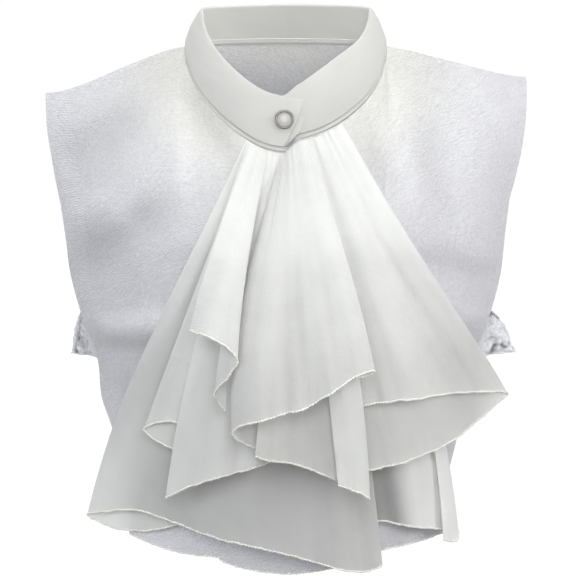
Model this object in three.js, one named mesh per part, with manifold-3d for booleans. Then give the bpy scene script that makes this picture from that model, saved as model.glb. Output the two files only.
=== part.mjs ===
// Detachable blouse collar: a standing collar band over a bib front and a back panel, which elastic side
// tabs hold together, with a jabot of fan-shaped chiffon folds hanging from the neck seam.
// Millimetres. The origin is the middle of the neck seam, +Z is up and the front looks along -Y.
// The outline is as worn, so left and right mean -X and +X, as seen from the front.
import * as THREE from "three";
import { mergeVertices } from "three/addons/utils/BufferGeometryUtils.js";
import Module from "manifold-3d";

const wasm = await Module();
wasm.setup();

// Neck seam: an oval that sinks towards the front. The left end dips to a point where it laps over the right,
// which dips with it under the lap and about a third as far beside it.
const NECK = { halfWidth: 67, front: 60, back: 38, side: 6, frontDrop: 47, backDrop: 3,
  lapDip: 11, dipPower: 6, rightShare: 0.35, rightFrom: -3, rightTo: 9 };
const BAND = { wall: 2, sideHeight: 26, frontRise: 8, backRise: 1.5, lean: 10.5, frontLean: 8, backLean: 15,
  sideLean: 4, bulge: 1.5, rightRise: 5.5, rightAt: 38, rightWidth: 24, sag: 2.5, sagAt: 7, sagWidth: 8 };
const LAP = { underEnd: -16, overBase: -0.5, overTop: 12, spread: 1.35, easeFrom: 22, easeTo: 80,
  tuck: 2, tuckFrom: -12, tuckTo: 2, tipDrop: 4.5, tipFrom: 354, tipTo: 374 };
const PIPING = { radius: 1.3, gap: 0.75, underEnd: 4, overEnd: 1.5, sides: 6 };
const PANEL = { wall: 1.2, hem: -324, frontHemDip: 13, hemDipPower: 4, seamGap: 1.1, edgePower: 0.6,
  dropPower: 1.5, narrowBy: 0.25, backInset: 3, insetBy: 0.3, tilt: 5.5, tiltOver: 0.45 };
const BODY = { shoulderY: 3, shoulderReach: 30, roundOver: 120, roundPower: 1.8, flatten: 0.8,
  flattenPower: 2.4, widest: 1.25, neckDraw: 60, neckEase: 10, neckReach: 110,
  softFrom: 4, softOver: 20 };
const TAB = { wall: 2, height: 29, middle: -194, sink: 1, ruche: 1.1, ruches: 7, seatGap: 0.85, stitched: 10,
  clearOf: 2, freeFrom: 0.25, freeTo: 0.4 };
// How far each tab stands out past the panels' edges at its top and at its foot, as it flares downwards.
const TAB_OUT = { left: [2, 17], right: [4, 27], power: 0.75 };
// Where the tab's free length passes: its share of the way out, and of the depth from the edge it is nearer.
const TAB_ROUND = { front: [0.42, 0.24], middle: [1, 0.48], rear: [0.95, 0.62], back: [0.4, 0.8] };
const JABOT = { wall: 1, clearance: 2.6, layerGap: 1.62, opensOver: 80, topGap: 0.6, dropPower: 1.3 };
const SNAP = { ring: 6.3, ringInside: 5, ringHeight: 1.7, ringEdge: 0.5, cap: 4.7, capHeight: 1.3, post: 1.5,
  hole: 1.85, holeLength: 20, flange: 4.6, flangeHeight: 1.2, gap: 0.3, flangeGap: 0.6, angle: -1,
  height: 0.56, capWall: 0.55, capFlat: 0.7, capEdge: 0.9 };
// Small steps, in degrees and in share of the band's height, that find which way the band faces.
const STEP = { degrees: 1, height: 0.1 };
const GRIDS = { band: [48, 3], frontPanel: [24, 11], backPanel: [20, 8], tab: [28, 2], jabotPerRow: 2,
  jabotDown: 8, pipingStops: 40, pipingSections: 36, turned: 16, hole: 12 };

// The body under the cloth, as worn: half width, and how far its front and back stand from the neck.
const BODY_WIDTH = [
  { z: -328, half: 134 }, { z: -290, half: 128 }, { z: -248, half: 124 }, { z: -207, half: 129 },
  { z: -175, half: 138 }, { z: -120, half: 147 }, { z: -63, half: 156 }, { z: -21, half: 163 },
];
const FRONT_PROFILE = [
  { z: -328, y: -94 }, { z: -220, y: -104 }, { z: -170, y: -110 }, { z: -120, y: -108 }, { z: -60, y: -104 },
];
const BACK_PROFILE = [
  { z: -328, y: 88 }, { z: -200, y: 94 }, { z: -120, y: 99 }, { z: -60, y: 90 }, { z: 0, y: 66 },
];
const SHOULDER = [
  { x: 0, z: 13 }, { x: 67, z: 6 }, { x: 105, z: -5 }, { x: 141, z: -17 }, { x: 163, z: -21 },
];

// Cut edges of the panels, from the hem up: they run in below the side tabs, where the jabot covers them.
const PANEL_EDGE = [
  { z: -328, half: 108 }, { z: -290, half: 109 }, { z: -255, half: 119 }, { z: -236, half: 127 },
  { z: -207, half: 130 }, { z: -178, half: 139 }, { z: -150, half: 146 }, { z: -120, half: 149 },
  { z: -63, half: 157 }, { z: -21, half: 163 },
];

// Each jabot piece is one sheet, folded to and fro. A row is a line of cloth from the neck to the hem:
// x and z place its hem, lift is how far that hem stands off the bib, neck is where the line starts along
// the seam, layer is its place in the stack there, and bow curves the line sideways.
const JABOT_SHEETS = {
  jabot_bottom_ruffle: [
    { x: -70, z: -305, lift: 3, neck: -15, layer: 0.25, bow: -4 },
    { x: -92, z: -315, lift: 3, neck: -18, layer: 0.25, bow: -5 },
    { x: -114, z: -320, lift: 4, neck: -22, layer: 0.25, bow: -7 },
    { x: -138, z: -319, lift: 6, neck: -26, layer: 0.6, bow: -11 },
    { x: -121, z: -308, lift: 10, neck: -25, layer: 1.0, bow: -9 },
    { x: -99, z: -301, lift: 10, neck: -23, layer: 1.0, bow: -6 },
    { x: -66, z: -306, lift: 8, neck: -18, layer: 1.0, bow: -3 },
    { x: -26, z: -312, lift: 13, neck: -8, layer: 1.0, bow: 0 },
    { x: 9, z: -321, lift: 10, neck: 2, layer: 1.05, bow: 0 },
    { x: 34, z: -329, lift: 13, neck: 10, layer: 1.05, bow: 0 },
    { x: 52, z: -334, lift: 10, neck: 16, layer: 1.05, bow: 2 },
    { x: 65, z: -331, lift: 13, neck: 19, layer: 1.05, bow: 4 },
  ],
  jabot_right_tail: [
    { x: 40, z: -299, lift: 3, neck: 12, layer: -0.1, bow: 0 },
    { x: 53, z: -300, lift: 5, neck: 16, layer: -0.1, bow: 0 },
    { x: 66, z: -302, lift: 7, neck: 20, layer: -0.1, bow: 1 },
    { x: 79, z: -306, lift: 10, neck: 24, layer: -0.1, bow: 4 },
    { x: 92, z: -310, lift: 8, neck: 27, layer: -0.1, bow: 8 },
    { x: 105, z: -315, lift: 10, neck: 30, layer: -0.1, bow: 11 },
    { x: 117, z: -318, lift: 12, neck: 33, layer: -0.1, bow: 13 },
    { x: 117, z: -325, lift: 15.5, neck: 33, layer: 0.8, bow: 14 },
    { x: 107, z: -322, lift: 15, neck: 31, layer: 0.8, bow: 15 },
  ],
  jabot_third_ruffle: [
    { x: -68, z: -250, lift: 15, neck: -19, layer: 2.2, bow: -2 },
    { x: -82, z: -247, lift: 16, neck: -22, layer: 2.2, bow: -2 },
    { x: -95, z: -240, lift: 18, neck: -25, layer: 2.6, bow: -2 },
    { x: -86, z: -231, lift: 21, neck: -24, layer: 3.0, bow: -2 },
    { x: -72, z: -227, lift: 21, neck: -22, layer: 3.0, bow: -3 },
    { x: -64, z: -245, lift: 20, neck: -20, layer: 3.0, bow: -5 },
    { x: -74, z: -276, lift: 22, neck: -21, layer: 3.4, bow: -7 },
    { x: -80, z: -282, lift: 25, neck: -22, layer: 3.8, bow: -7 },
    { x: -66, z: -271, lift: 28, neck: -19, layer: 4.0, bow: -5 },
    { x: -44, z: -260, lift: 28, neck: -14, layer: 4.0, bow: -3 },
    { x: -26, z: -254, lift: 24, neck: -9, layer: 3.5, bow: -1 },
    { x: -8, z: -248, lift: 22, neck: -4, layer: 2.9, bow: 0 },
    { x: 12, z: -250, lift: 20, neck: 1, layer: 2.7, bow: 0 },
  ],
  jabot_right_fold: [
    { x: 26, z: -254, lift: 21, neck: 8, layer: 2.2, bow: 0 },
    { x: 43, z: -257, lift: 21, neck: 13, layer: 2.2, bow: 0 },
    { x: 60, z: -258, lift: 24, neck: 17, layer: 2.2, bow: 0 },
    { x: 84, z: -256, lift: 22, neck: 22, layer: 2.2, bow: 1 },
    { x: 111, z: -253, lift: 24, neck: 27, layer: 2.2, bow: 2 },
    { x: 134, z: -248, lift: 22, neck: 32, layer: 2.2, bow: 4 },
    { x: 149, z: -244, lift: 22, neck: 35, layer: 2.5, bow: 6 },
    { x: 155, z: -241, lift: 26, neck: 37, layer: 2.9, bow: 6 },
    { x: 148, z: -234, lift: 30, neck: 36, layer: 3.2, bow: 6 },
    { x: 134, z: -226, lift: 31, neck: 33, layer: 3.2, bow: 5 },
    { x: 110, z: -216, lift: 29, neck: 28, layer: 3.2, bow: 4 },
    { x: 82, z: -210, lift: 32, neck: 23, layer: 3.2, bow: 3 },
    { x: 60, z: -210, lift: 28, neck: 18, layer: 3.2, bow: 3 },
    { x: 46, z: -212, lift: 27, neck: 14, layer: 3.2, bow: 2 },
    { x: 32, z: -215, lift: 26, neck: 10, layer: 3.2, bow: 1 },
  ],
  jabot_second_ruffle: [
    { x: -20, z: -238, lift: 42, neck: 4, layer: 5.6, bow: -2 },
    { x: -8, z: -242, lift: 41, neck: 5, layer: 5.55, bow: -1 },
    { x: 9, z: -246, lift: 37, neck: 6, layer: 5.55, bow: 0 },
    { x: 26, z: -254, lift: 37, neck: 8, layer: 5.55, bow: 1 },
    { x: 44, z: -264, lift: 35, neck: 10, layer: 5.55, bow: 6 },
    { x: 55, z: -274, lift: 38, neck: 12, layer: 6.05, bow: 9 },
    { x: 50, z: -268, lift: 43, neck: 12, layer: 6.4, bow: 8 },
    { x: 42, z: -263, lift: 45, neck: 10.5, layer: 6.4, bow: 5 },
    { x: 34, z: -259, lift: 43, neck: 9, layer: 6.4, bow: 1 },
  ],
  jabot_left_fold: [
    { x: -62, z: -155, lift: 53, neck: -23, layer: 7.3, bow: -4 },
    { x: -54, z: -154, lift: 57, neck: -20, layer: 7.3, bow: -3 },
    { x: -45, z: -157, lift: 59, neck: -16.5, layer: 7.3, bow: -3 },
    { x: -36, z: -163, lift: 58, neck: -12.5, layer: 7.3, bow: -3.5 },
    { x: -31, z: -171, lift: 55, neck: -11.5, layer: 6.9, bow: -3.5 },
    { x: -38, z: -184, lift: 51, neck: -13, layer: 6.3, bow: -3.5 },
    { x: -46, z: -195, lift: 47, neck: -14.5, layer: 5.9, bow: -4 },
    { x: -43, z: -203, lift: 43, neck: -14.5, layer: 5.3, bow: -5 },
    { x: -39, z: -209, lift: 41, neck: -13.5, layer: 5.3, bow: -6 },
  ],
  jabot_centre_fold: [
    { x: 0, z: -238, lift: 30, neck: 2, layer: 4.2, bow: -1 },
    { x: -12, z: -236, lift: 31, neck: 1, layer: 4.15, bow: -3 },
    { x: -25, z: -232, lift: 36, neck: -1, layer: 4.5, bow: -6 },
    { x: -35, z: -223, lift: 46, neck: -2.5, layer: 6.4, bow: -10 },
    { x: -26, z: -213, lift: 54, neck: -1, layer: 8.6, bow: -8 },
    { x: -7, z: -207, lift: 56, neck: 2.5, layer: 8.6, bow: -3 },
    { x: 13, z: -202, lift: 54, neck: 6, layer: 8.6, bow: 0 },
    { x: 30, z: -191, lift: 57, neck: 10, layer: 8.6, bow: 2 },
    { x: 45, z: -182, lift: 55, neck: 13, layer: 8.6, bow: 3 },
    { x: 57, z: -180, lift: 51, neck: 15, layer: 8.2, bow: 4 },
    { x: 52, z: -184, lift: 49, neck: 14, layer: 7.75, bow: 4 },
    { x: 42, z: -185, lift: 49, neck: 12, layer: 7.75, bow: 3 },
    { x: 31, z: -189, lift: 49, neck: 10, layer: 7.75, bow: 2 },
  ],
};
const FOLD_TENSION = 0.4;

const lerp = THREE.MathUtils.lerp;
const radians = THREE.MathUtils.degToRad;
const smooth = THREE.MathUtils.smoothstep;

// A cubic from one value to the next, with the slope at each, where f runs from 0 to 1.
function ease(from, to, leaving, arriving, f) {
  return from * (1 + 2 * f) * (1 - f) ** 2 + leaving * f * (1 - f) ** 2
    + to * f * f * (3 - 2 * f) + arriving * f * f * (f - 1);
}

// Smooth reading of a table whose first column rises, level past its ends.
function read(table, column, at, key) {
  const last = table.length - 1;
  if (at <= table[0][column]) return table[0][key];
  if (at >= table[last][column]) return table[last][key];
  const slope = (row) => {
    if (row === 0 || row === last) return 0;
    const [before, after] = [table[row - 1], table[row + 1]];
    return (after[key] - before[key]) / (after[column] - before[column]);
  };
  const i = table.findIndex((row) => row[column] > at) - 1;
  const [a, b] = [table[i], table[i + 1]];
  const width = b[column] - a[column];
  return ease(a[key], b[key], slope(i) * width, slope(i + 1) * width, (at - a[column]) / width);
}

// Smooth reading of one column of a sheet's rows, where t runs from 0 at the first row to 1 at the last.
function along(rows, t, key) {
  const i = Math.min(Math.floor(t * (rows.length - 1)), rows.length - 2);
  const [b, c] = [rows[i][key], rows[i + 1][key]];
  const a = i > 0 ? rows[i - 1][key] : b;
  const d = i + 2 < rows.length ? rows[i + 2][key] : c;
  return ease(b, c, (c - a) * FOLD_TENSION, (d - b) * FOLD_TENSION, t * (rows.length - 1) - i);
}

// How far the seam sinks at the lap.
function lapDip(degrees) {
  const whole = NECK.lapDip * Math.max(0, Math.cos(radians(degrees))) ** NECK.dipPower;
  if (degrees > 180) return whole;
  return whole * lerp(1, NECK.rightShare, smooth(degrees, NECK.rightFrom, NECK.rightTo));
}

// Neck seam by angle: 0 at the middle of the front, 90 at the right. Past 180 it is the side that laps over.
function neckSeam(degrees) {
  const s = Math.sin(radians(degrees));
  const c = Math.cos(radians(degrees));
  if (c <= 0) return new THREE.Vector3(NECK.halfWidth * s, -NECK.back * c, NECK.side + NECK.backDrop * c);
  const dip = lapDip(degrees);
  const forward = NECK.front * c + dip * BAND.frontLean / (BAND.sideHeight + BAND.frontRise);
  return new THREE.Vector3(NECK.halfWidth * s, -forward, NECK.side - NECK.frontDrop * c - dip);
}

// Where the neck seam crosses this distance from the middle, at the front or the back. A soft crossing turns
// the corner at the side of the neck gently.
function seamAt(x, isFront, soft = 0) {
  const across = x / NECK.halfWidth;
  const inside = 1 - across ** 2;
  const toMiddle = Math.sqrt((inside + Math.hypot(inside, soft)) / 2);
  const angle = THREE.MathUtils.radToDeg(Math.atan2(across, toMiddle));
  if (!isFront) return neckSeam(180 - angle);
  return neckSeam(angle < 0 ? angle + 360 : angle);
}

// Depth of the body's front or back, rounding over from the shoulder line.
function bodyDepth(reach, z, isFront) {
  const profile = isFront ? FRONT_PROFILE : BACK_PROFILE;
  const shoulder = BODY.shoulderY * smooth(reach, NECK.halfWidth, NECK.halfWidth + BODY.shoulderReach);
  const across = Math.min(BODY.widest, reach / read(BODY_WIDTH, "z", z, "half"));
  const full = read(profile, "z", z, "y") * (1 - BODY.flatten * across ** BODY.flattenPower);
  const down = Math.min(1, Math.max(0, read(SHOULDER, "x", reach, "z") - z) / BODY.roundOver);
  return lerp(shoulder, full, 1 - (1 - down) ** BODY.roundPower);
}

// Depth of a panel's cloth: on the body, and drawn in to the neck seam above.
function panelDepth(x, z, isFront) {
  const reach = Math.abs(x);
  const across = x / NECK.halfWidth;
  const drop = isFront ? NECK.frontDrop : NECK.backDrop;
  const below = Math.max(0, (seamAt(x, isFront).z - z) / drop + Math.sqrt(Math.max(0, 1 - across ** 2)));
  const away = drop * Math.max(0, Math.hypot(across, below) - 1);
  const seam = seamAt(x, isFront, (Math.max(0, away - BODY.softFrom) / BODY.softOver) ** 2);
  const middle = seamAt(0, isFront);
  const swell = Math.cos(Math.PI / 2 * Math.min(1, reach / BODY.neckReach)) ** 2;
  const broad = (middle.y - bodyDepth(0, middle.z, isFront)) * swell;
  const belowNeck = Math.max(0, lerp(NECK.side, middle.z, swell) - z);
  const exact = seam.y - bodyDepth(Math.min(reach, NECK.halfWidth), seam.z, isFront);
  const drawn = lerp(broad * Math.exp(-belowNeck / BODY.neckDraw), exact, Math.exp(-away / BODY.neckEase));
  return bodyDepth(reach, z, isFront) + drawn;
}

const frontDepth = (x, z) => panelDepth(x, z, true);
const backDepth = (x, z) => panelDepth(x, z, false);

// A closed wall around the surface point(u, v), half its thickness on each side.
function wall(point, across, down, thickness) {
  const positions = [];
  const step = 1e-3;
  const columns = across + 1;
  for (const side of [1, -1]) {
    for (let j = 0; j <= down; j += 1) {
      for (let i = 0; i <= across; i += 1) {
        const [u, v] = [i / across, j / down];
        const [u0, u1] = [Math.max(0, u - step), Math.min(1, u + step)];
        const [v0, v1] = [Math.max(0, v - step), Math.min(1, v + step)];
        const alongU = point(u1, v).sub(point(u0, v));
        const alongV = point(u, v1).sub(point(u, v0));
        const normal = alongU.cross(alongV).normalize().multiplyScalar(side * thickness / 2);
        positions.push(...point(u, v).add(normal).toArray());
      }
    }
  }
  const other = columns * (down + 1);
  const indices = [];
  const quad = (a, b, c, d) => indices.push(a, b, c, a, c, d);
  for (let j = 0; j < down; j += 1) {
    for (let i = 0; i < across; i += 1) {
      const a = j * columns + i;
      quad(a, a + 1, a + 1 + columns, a + columns);
      quad(other + a, other + a + columns, other + a + 1 + columns, other + a + 1);
    }
  }
  for (let i = 0; i < across; i += 1) {
    const end = down * columns + i;
    quad(i, i + other, i + 1 + other, i + 1);
    quad(end, end + 1, end + 1 + other, end + other);
  }
  for (let j = 0; j < down; j += 1) {
    const start = j * columns;
    const end = start + across;
    quad(start, start + columns, start + columns + other, start + other);
    quad(end, end + other, end + columns + other, end + columns);
  }
  const geometry = new THREE.BufferGeometry();
  geometry.setAttribute("position", new THREE.Float32BufferAttribute(positions, 3));
  geometry.setIndex(indices);
  return geometry;
}

function solid(geometry) {
  const bare = geometry.clone();
  bare.deleteAttribute("normal");
  bare.deleteAttribute("uv");
  const merged = mergeVertices(bare, 1e-4);
  return new wasm.Manifold(new wasm.Mesh({
    numProp: 3,
    vertProperties: new Float32Array(merged.attributes.position.array),
    triVerts: new Uint32Array(merged.index.array),
  }));
}

function fromSolid(manifold) {
  const mesh = manifold.getMesh();
  const geometry = new THREE.BufferGeometry();
  geometry.setAttribute("position", new THREE.BufferAttribute(mesh.vertProperties, 3));
  geometry.setIndex(new THREE.BufferAttribute(mesh.triVerts, 1));
  return geometry;
}

// How far above or below the seam a cloth edge lies, to clear the piping where the seam slopes.
function besidePiping(degrees) {
  const step = neckSeam(degrees + STEP.degrees).sub(neckSeam(degrees - STEP.degrees));
  return (PIPING.radius + PIPING.gap) * step.length() / Math.hypot(step.x, step.y);
}

// How far the band's rim stands above the seam: taller at the front and right, tucked down under the lap and
// just beside it, and drooping at the lap's own corner.
function bandRise(degrees) {
  const c = Math.cos(radians(degrees));
  const rightSide = Math.exp(-(((degrees - BAND.rightAt) / BAND.rightWidth) ** 2));
  const besideLap = Math.exp(-(((degrees - BAND.sagAt) / BAND.sagWidth) ** 2));
  const round = BAND.sideHeight + BAND.frontRise * Math.max(0, c) + BAND.backRise * Math.max(0, -c);
  return round + BAND.rightRise * rightSide - BAND.sag * besideLap
    - LAP.tuck * (1 - smooth(degrees, LAP.tuckFrom, LAP.tuckTo))
    - LAP.tipDrop * smooth(degrees, LAP.tipFrom, LAP.tipTo);
}

// Place on the collar band: angle as on the neck seam, height from 0 at the seam to 1 at the rim.
function bandPoint(degrees, height, seamLift = besidePiping(degrees) + BAND.wall / 4) {
  const place = neckSeam(degrees);
  const s = Math.sin(radians(degrees));
  const c = Math.cos(radians(degrees));
  const under = 1 - smooth(degrees, LAP.easeFrom, LAP.easeTo);
  const over = smooth(degrees, 360 - LAP.easeTo, 360 - LAP.easeFrom);
  const out = LAP.spread * (over - under) + BAND.bulge * 4 * height * (1 - height);
  const [front, back] = [Math.max(0, c), Math.max(0, -c)];
  const lean = BAND.frontLean * front - BAND.backLean * back - BAND.sideLean * Math.abs(s);
  place.x += s * (out - BAND.lean * height);
  place.y += lean * height - c * out;
  place.z += seamLift + (bandRise(degrees) - seamLift) * height;
  return place;
}

function collarBand() {
  const surface = (u, v) => {
    const height = 1 - v;
    return bandPoint(lerp(LAP.underEnd, 360 + lerp(LAP.overBase, LAP.overTop, height), u), height);
  };
  const hole = new THREE.CylinderGeometry(SNAP.hole, SNAP.hole, SNAP.holeLength, GRIDS.hole);
  return fromSolid(solid(wall(surface, ...GRIDS.band, BAND.wall)).subtract(solid(alongSnapAxis(hole, 0))));
}

function neckPiping() {
  const points = [];
  for (let i = 0; i <= GRIDS.pipingStops; i += 1) {
    points.push(bandPoint(lerp(PIPING.underEnd, 360 + PIPING.overEnd, i / GRIDS.pipingStops), 0, 0));
  }
  const section = new THREE.Shape();
  for (let k = 0; k < PIPING.sides; k += 1) {
    const turn = 2 * Math.PI * k / PIPING.sides;
    const place = [PIPING.radius * Math.cos(turn), PIPING.radius * Math.sin(turn)];
    if (k === 0) section.moveTo(...place);
    else section.lineTo(...place);
  }
  return new THREE.ExtrudeGeometry(section, {
    steps: GRIDS.pipingSections, extrudePath: new THREE.CatmullRomCurve3(points),
  });
}

// Top edge of a panel for u from -1 to 1: round the piping between -0.5 and 0.5, the shoulders outside it.
function panelTop(u, isFront) {
  const clear = PIPING.radius + PIPING.gap + PANEL.wall;
  if (Math.abs(u) < 0.5) {
    const angle = isFront ? 180 * u : 180 - 180 * u;
    const seam = neckSeam(angle < 0 ? angle + 360 : angle);
    const below = (besidePiping(angle) + PANEL.wall / 2) * Math.cos(Math.PI * u) ** PANEL.edgePower;
    return { x: seam.x + clear * Math.sin(Math.PI * u), z: seam.z - below };
  }
  const x = lerp(NECK.halfWidth + clear, SHOULDER.at(-1).x, Math.abs(u) * 2 - 1);
  return { x: Math.sign(u) * x, z: read(SHOULDER, "x", x, "z") - PANEL.seamGap / 2 };
}

// One panel. Its left shoulder hangs lower than its right, as worn.
function panel(isFront) {
  const widest = SHOULDER.at(-1).x;
  const surface = (s, down) => {
    const u = isFront ? 2 * s - 1 : 1 - 2 * s;
    const v = down ** PANEL.dropPower;
    const top = panelTop(u, isFront);
    const dip = isFront ? PANEL.frontHemDip * Math.cos(Math.PI / 2 * u) ** PANEL.hemDipPower : 0;
    const inset = isFront ? 0 : PANEL.backInset * smooth(v, 0, PANEL.insetBy);
    const z = lerp(top.z, PANEL.hem - dip, v);
    const edge = (read(PANEL_EDGE, "z", z, "half") - inset) / widest;
    const x = top.x * lerp(1, edge, Math.min(1, v / PANEL.narrowBy));
    const y = isFront ? frontDepth(x, z) - PANEL.seamGap / 2 : backDepth(x, z) + PANEL.seamGap / 2;
    const tilt = PANEL.tilt * Math.sign(x) * smooth(Math.abs(x), NECK.halfWidth, widest);
    return new THREE.Vector3(x, y, z + tilt * (1 - smooth(v, 0, PANEL.tiltOver)));
  };
  return wall(surface, ...(isFront ? GRIDS.frontPanel : GRIDS.backPanel), PANEL.wall);
}

// A ruched elastic strip from inside the front panel's edge, out round the side, to inside the back's edge.
// Its two ends are stitched flat, so the route at each height starts and ends along the panels.
function tabPath(z, out) {
  const half = read(PANEL_EDGE, "z", z, "half");
  const seat = PANEL.wall / 2 + TAB.seatGap + TAB.wall / 2;
  const inside = (depth, x, shift, turn) => {
    const slope = (depth(x + 1, z) - depth(x - 1, z)) / 2;
    const reach = seat / Math.hypot(1, slope);
    return new THREE.Vector3(x - reach * Math.abs(slope), depth(x, z) + shift + reach * turn, z);
  };
  const onFront = (fromEdge) => inside(frontDepth, half - fromEdge, PANEL.seamGap / -2, 1);
  const onBack = (fromEdge) => inside(backDepth, half - PANEL.backInset - fromEdge, PANEL.seamGap / 2, -1);
  const [front, back] = [onFront(-TAB.clearOf).y, onBack(-TAB.clearOf).y];
  const round = ([share, depth]) => new THREE.Vector3(half + share * out, lerp(front, back, depth), z);
  return new THREE.CatmullRomCurve3([
    onFront(TAB.stitched), onFront(TAB.stitched / 2), onFront(-TAB.clearOf),
    round(TAB_ROUND.front), round(TAB_ROUND.middle), round(TAB_ROUND.rear), round(TAB_ROUND.back),
    onBack(-TAB.clearOf), onBack(TAB.stitched / 2), onBack(TAB.stitched),
  ]);
}

function sideTab(side) {
  const [outTop, outFoot] = side > 0 ? TAB_OUT.right : TAB_OUT.left;
  const surface = (s, v) => {
    const u = side > 0 ? s : 1 - s;
    const height = TAB.height * (0.5 - v);
    const out = lerp(outTop, outFoot, v ** TAB_OUT.power);
    const place = tabPath(TAB.middle + height, out).getPoint(u);
    const free = smooth(u, TAB.freeFrom, TAB.freeTo) * (1 - smooth(u, 1 - TAB.freeTo, 1 - TAB.freeFrom));
    place.x += free * TAB.ruche * Math.sin(2 * Math.PI * TAB.ruches * u);
    place.z -= free * TAB.sink;
    return new THREE.Vector3(side * place.x, place.y, place.z);
  };
  return wall(surface, ...GRIDS.tab, TAB.wall);
}

function jabotSheet(rows) {
  const surface = (t, down) => {
    const v = down ** JABOT.dropPower;
    const neckX = along(rows, t, "neck");
    const neckZ = seamAt(neckX, true).z - PIPING.radius - JABOT.topGap;
    const x = lerp(neckX, along(rows, t, "x"), v) + along(rows, t, "bow") * 4 * v * (1 - v);
    const z = lerp(neckZ, along(rows, t, "z"), v);
    const gathered = along(rows, t, "layer") * JABOT.layerGap;
    const opened = 1 - Math.exp(-(neckZ - z) / JABOT.opensOver);
    const lift = JABOT.clearance + lerp(gathered, along(rows, t, "lift"), opened);
    return new THREE.Vector3(x, frontDepth(x, z) - lift, z);
  };
  return wall(surface, (rows.length - 1) * GRIDS.jabotPerRow, GRIDS.jabotDown, JABOT.wall);
}

// Turns a shape made along Y so that Y is the snap's axis, its base at this height off the band's middle.
function alongSnapAxis(geometry, height) {
  const angle = 360 + SNAP.angle;
  const middle = bandPoint(angle, SNAP.height);
  const up = bandPoint(angle, SNAP.height + STEP.height).sub(middle).normalize();
  const before = bandPoint(angle - STEP.degrees, SNAP.height);
  const across = bandPoint(angle + STEP.degrees, SNAP.height).sub(before).normalize();
  const outward = across.clone().cross(up).normalize();
  const side = up.clone().cross(outward);
  const turn = new THREE.Matrix4().makeBasis(side, outward, up.clone().negate());
  if (turn.determinant() < 0) turn.makeBasis(side, outward, up);
  turn.setPosition(middle.addScaledVector(outward, height));
  return geometry.applyMatrix4(turn);
}

function turned(points) {
  return new THREE.LatheGeometry(points.map(([r, h]) => new THREE.Vector2(r, h)), GRIDS.turned);
}

const onBand = BAND.wall / 2 + SNAP.gap;
const ringTop = SNAP.ring - 2 * SNAP.ringEdge;
const snapRing = turned([
  [SNAP.ringInside, 0], [SNAP.ring - SNAP.ringEdge, 0], [SNAP.ring, SNAP.ringEdge],
  [SNAP.ring, SNAP.ringHeight - SNAP.ringEdge], [ringTop, SNAP.ringHeight],
  [SNAP.ringInside, SNAP.ringHeight - SNAP.ringEdge], [SNAP.ringInside, 0],
]);
const snapCap = turned([
  [0, 0], [SNAP.cap, 0], [SNAP.cap, SNAP.capHeight * SNAP.capWall],
  [SNAP.cap * SNAP.capFlat, SNAP.capHeight * SNAP.capEdge], [0, SNAP.capHeight],
]);
const throughBand = 2 * LAP.spread + BAND.wall;
const flangeTop = -throughBand - SNAP.gap - SNAP.flangeGap;
const snapStud = turned([
  [0, flangeTop - SNAP.flangeHeight], [SNAP.flange, flangeTop - SNAP.flangeHeight], [SNAP.flange, flangeTop],
  [SNAP.post, flangeTop], [SNAP.post, onBand - SNAP.gap], [0, onBand - SNAP.gap],
]);

const cloth = (color, roughness) => new THREE.MeshStandardMaterial({
  color, roughness, metalness: 0, side: THREE.DoubleSide,
});
const part = new THREE.Group();
function add(name, geometry, material) {
  const mesh = new THREE.Mesh(geometry, material);
  mesh.name = name;
  part.add(mesh);
}

add("collar_band", collarBand(), cloth(0xf1f1f0, 0.85));
add("neck_piping", neckPiping(), cloth(0xf3f3f2, 0.8));
add("front_panel", panel(true), cloth(0xe6e8ec, 0.95));
add("back_panel", panel(false), cloth(0xdfe1e6, 0.95));
add("elastic_tab_left", sideTab(-1), cloth(0xcfd0d4, 0.9));
add("elastic_tab_right", sideTab(1), cloth(0xcfd0d4, 0.9));
for (const [name, rows] of Object.entries(JABOT_SHEETS)) {
  add(name, jabotSheet(rows), cloth(0xf4f3ee, 0.9));
}
add("snap_ring", alongSnapAxis(snapRing, onBand), new THREE.MeshStandardMaterial({
  color: 0x8f8d8a, roughness: 0.3, metalness: 1,
}));
add("snap_cap", alongSnapAxis(snapCap, onBand), new THREE.MeshStandardMaterial({
  color: 0xb9b8b6, roughness: 0.35, metalness: 0.3,
}));
add("snap_stud", alongSnapAxis(snapStud, 0), new THREE.MeshStandardMaterial({
  color: 0x8f8d8a, roughness: 0.35, metalness: 1,
}));

export default part;
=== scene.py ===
# Detachable blouse collar: a standing collar band over a crepe bib and back, ruched side tabs, a snap
# at the front lap, and a jabot of chiffon folds. Sizes are in millimetres unless a name says otherwise.
import math

import bpy
import numpy as np
from mathutils import Matrix, Vector


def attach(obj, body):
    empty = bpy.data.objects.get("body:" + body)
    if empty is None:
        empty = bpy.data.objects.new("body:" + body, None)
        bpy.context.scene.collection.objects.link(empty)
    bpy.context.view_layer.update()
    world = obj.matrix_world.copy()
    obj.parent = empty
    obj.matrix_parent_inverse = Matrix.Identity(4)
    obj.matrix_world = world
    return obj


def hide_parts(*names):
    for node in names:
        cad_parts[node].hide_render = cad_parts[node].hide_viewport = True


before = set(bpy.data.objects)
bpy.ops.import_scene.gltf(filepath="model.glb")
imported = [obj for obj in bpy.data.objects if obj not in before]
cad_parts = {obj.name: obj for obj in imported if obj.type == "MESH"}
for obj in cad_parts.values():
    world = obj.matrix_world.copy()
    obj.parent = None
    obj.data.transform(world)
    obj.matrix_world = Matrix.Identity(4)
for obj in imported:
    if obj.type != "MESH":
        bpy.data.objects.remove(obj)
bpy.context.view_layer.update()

MM = 0.001
for loaded in bpy.context.selected_objects:
    loaded.select_set(False)


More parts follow.
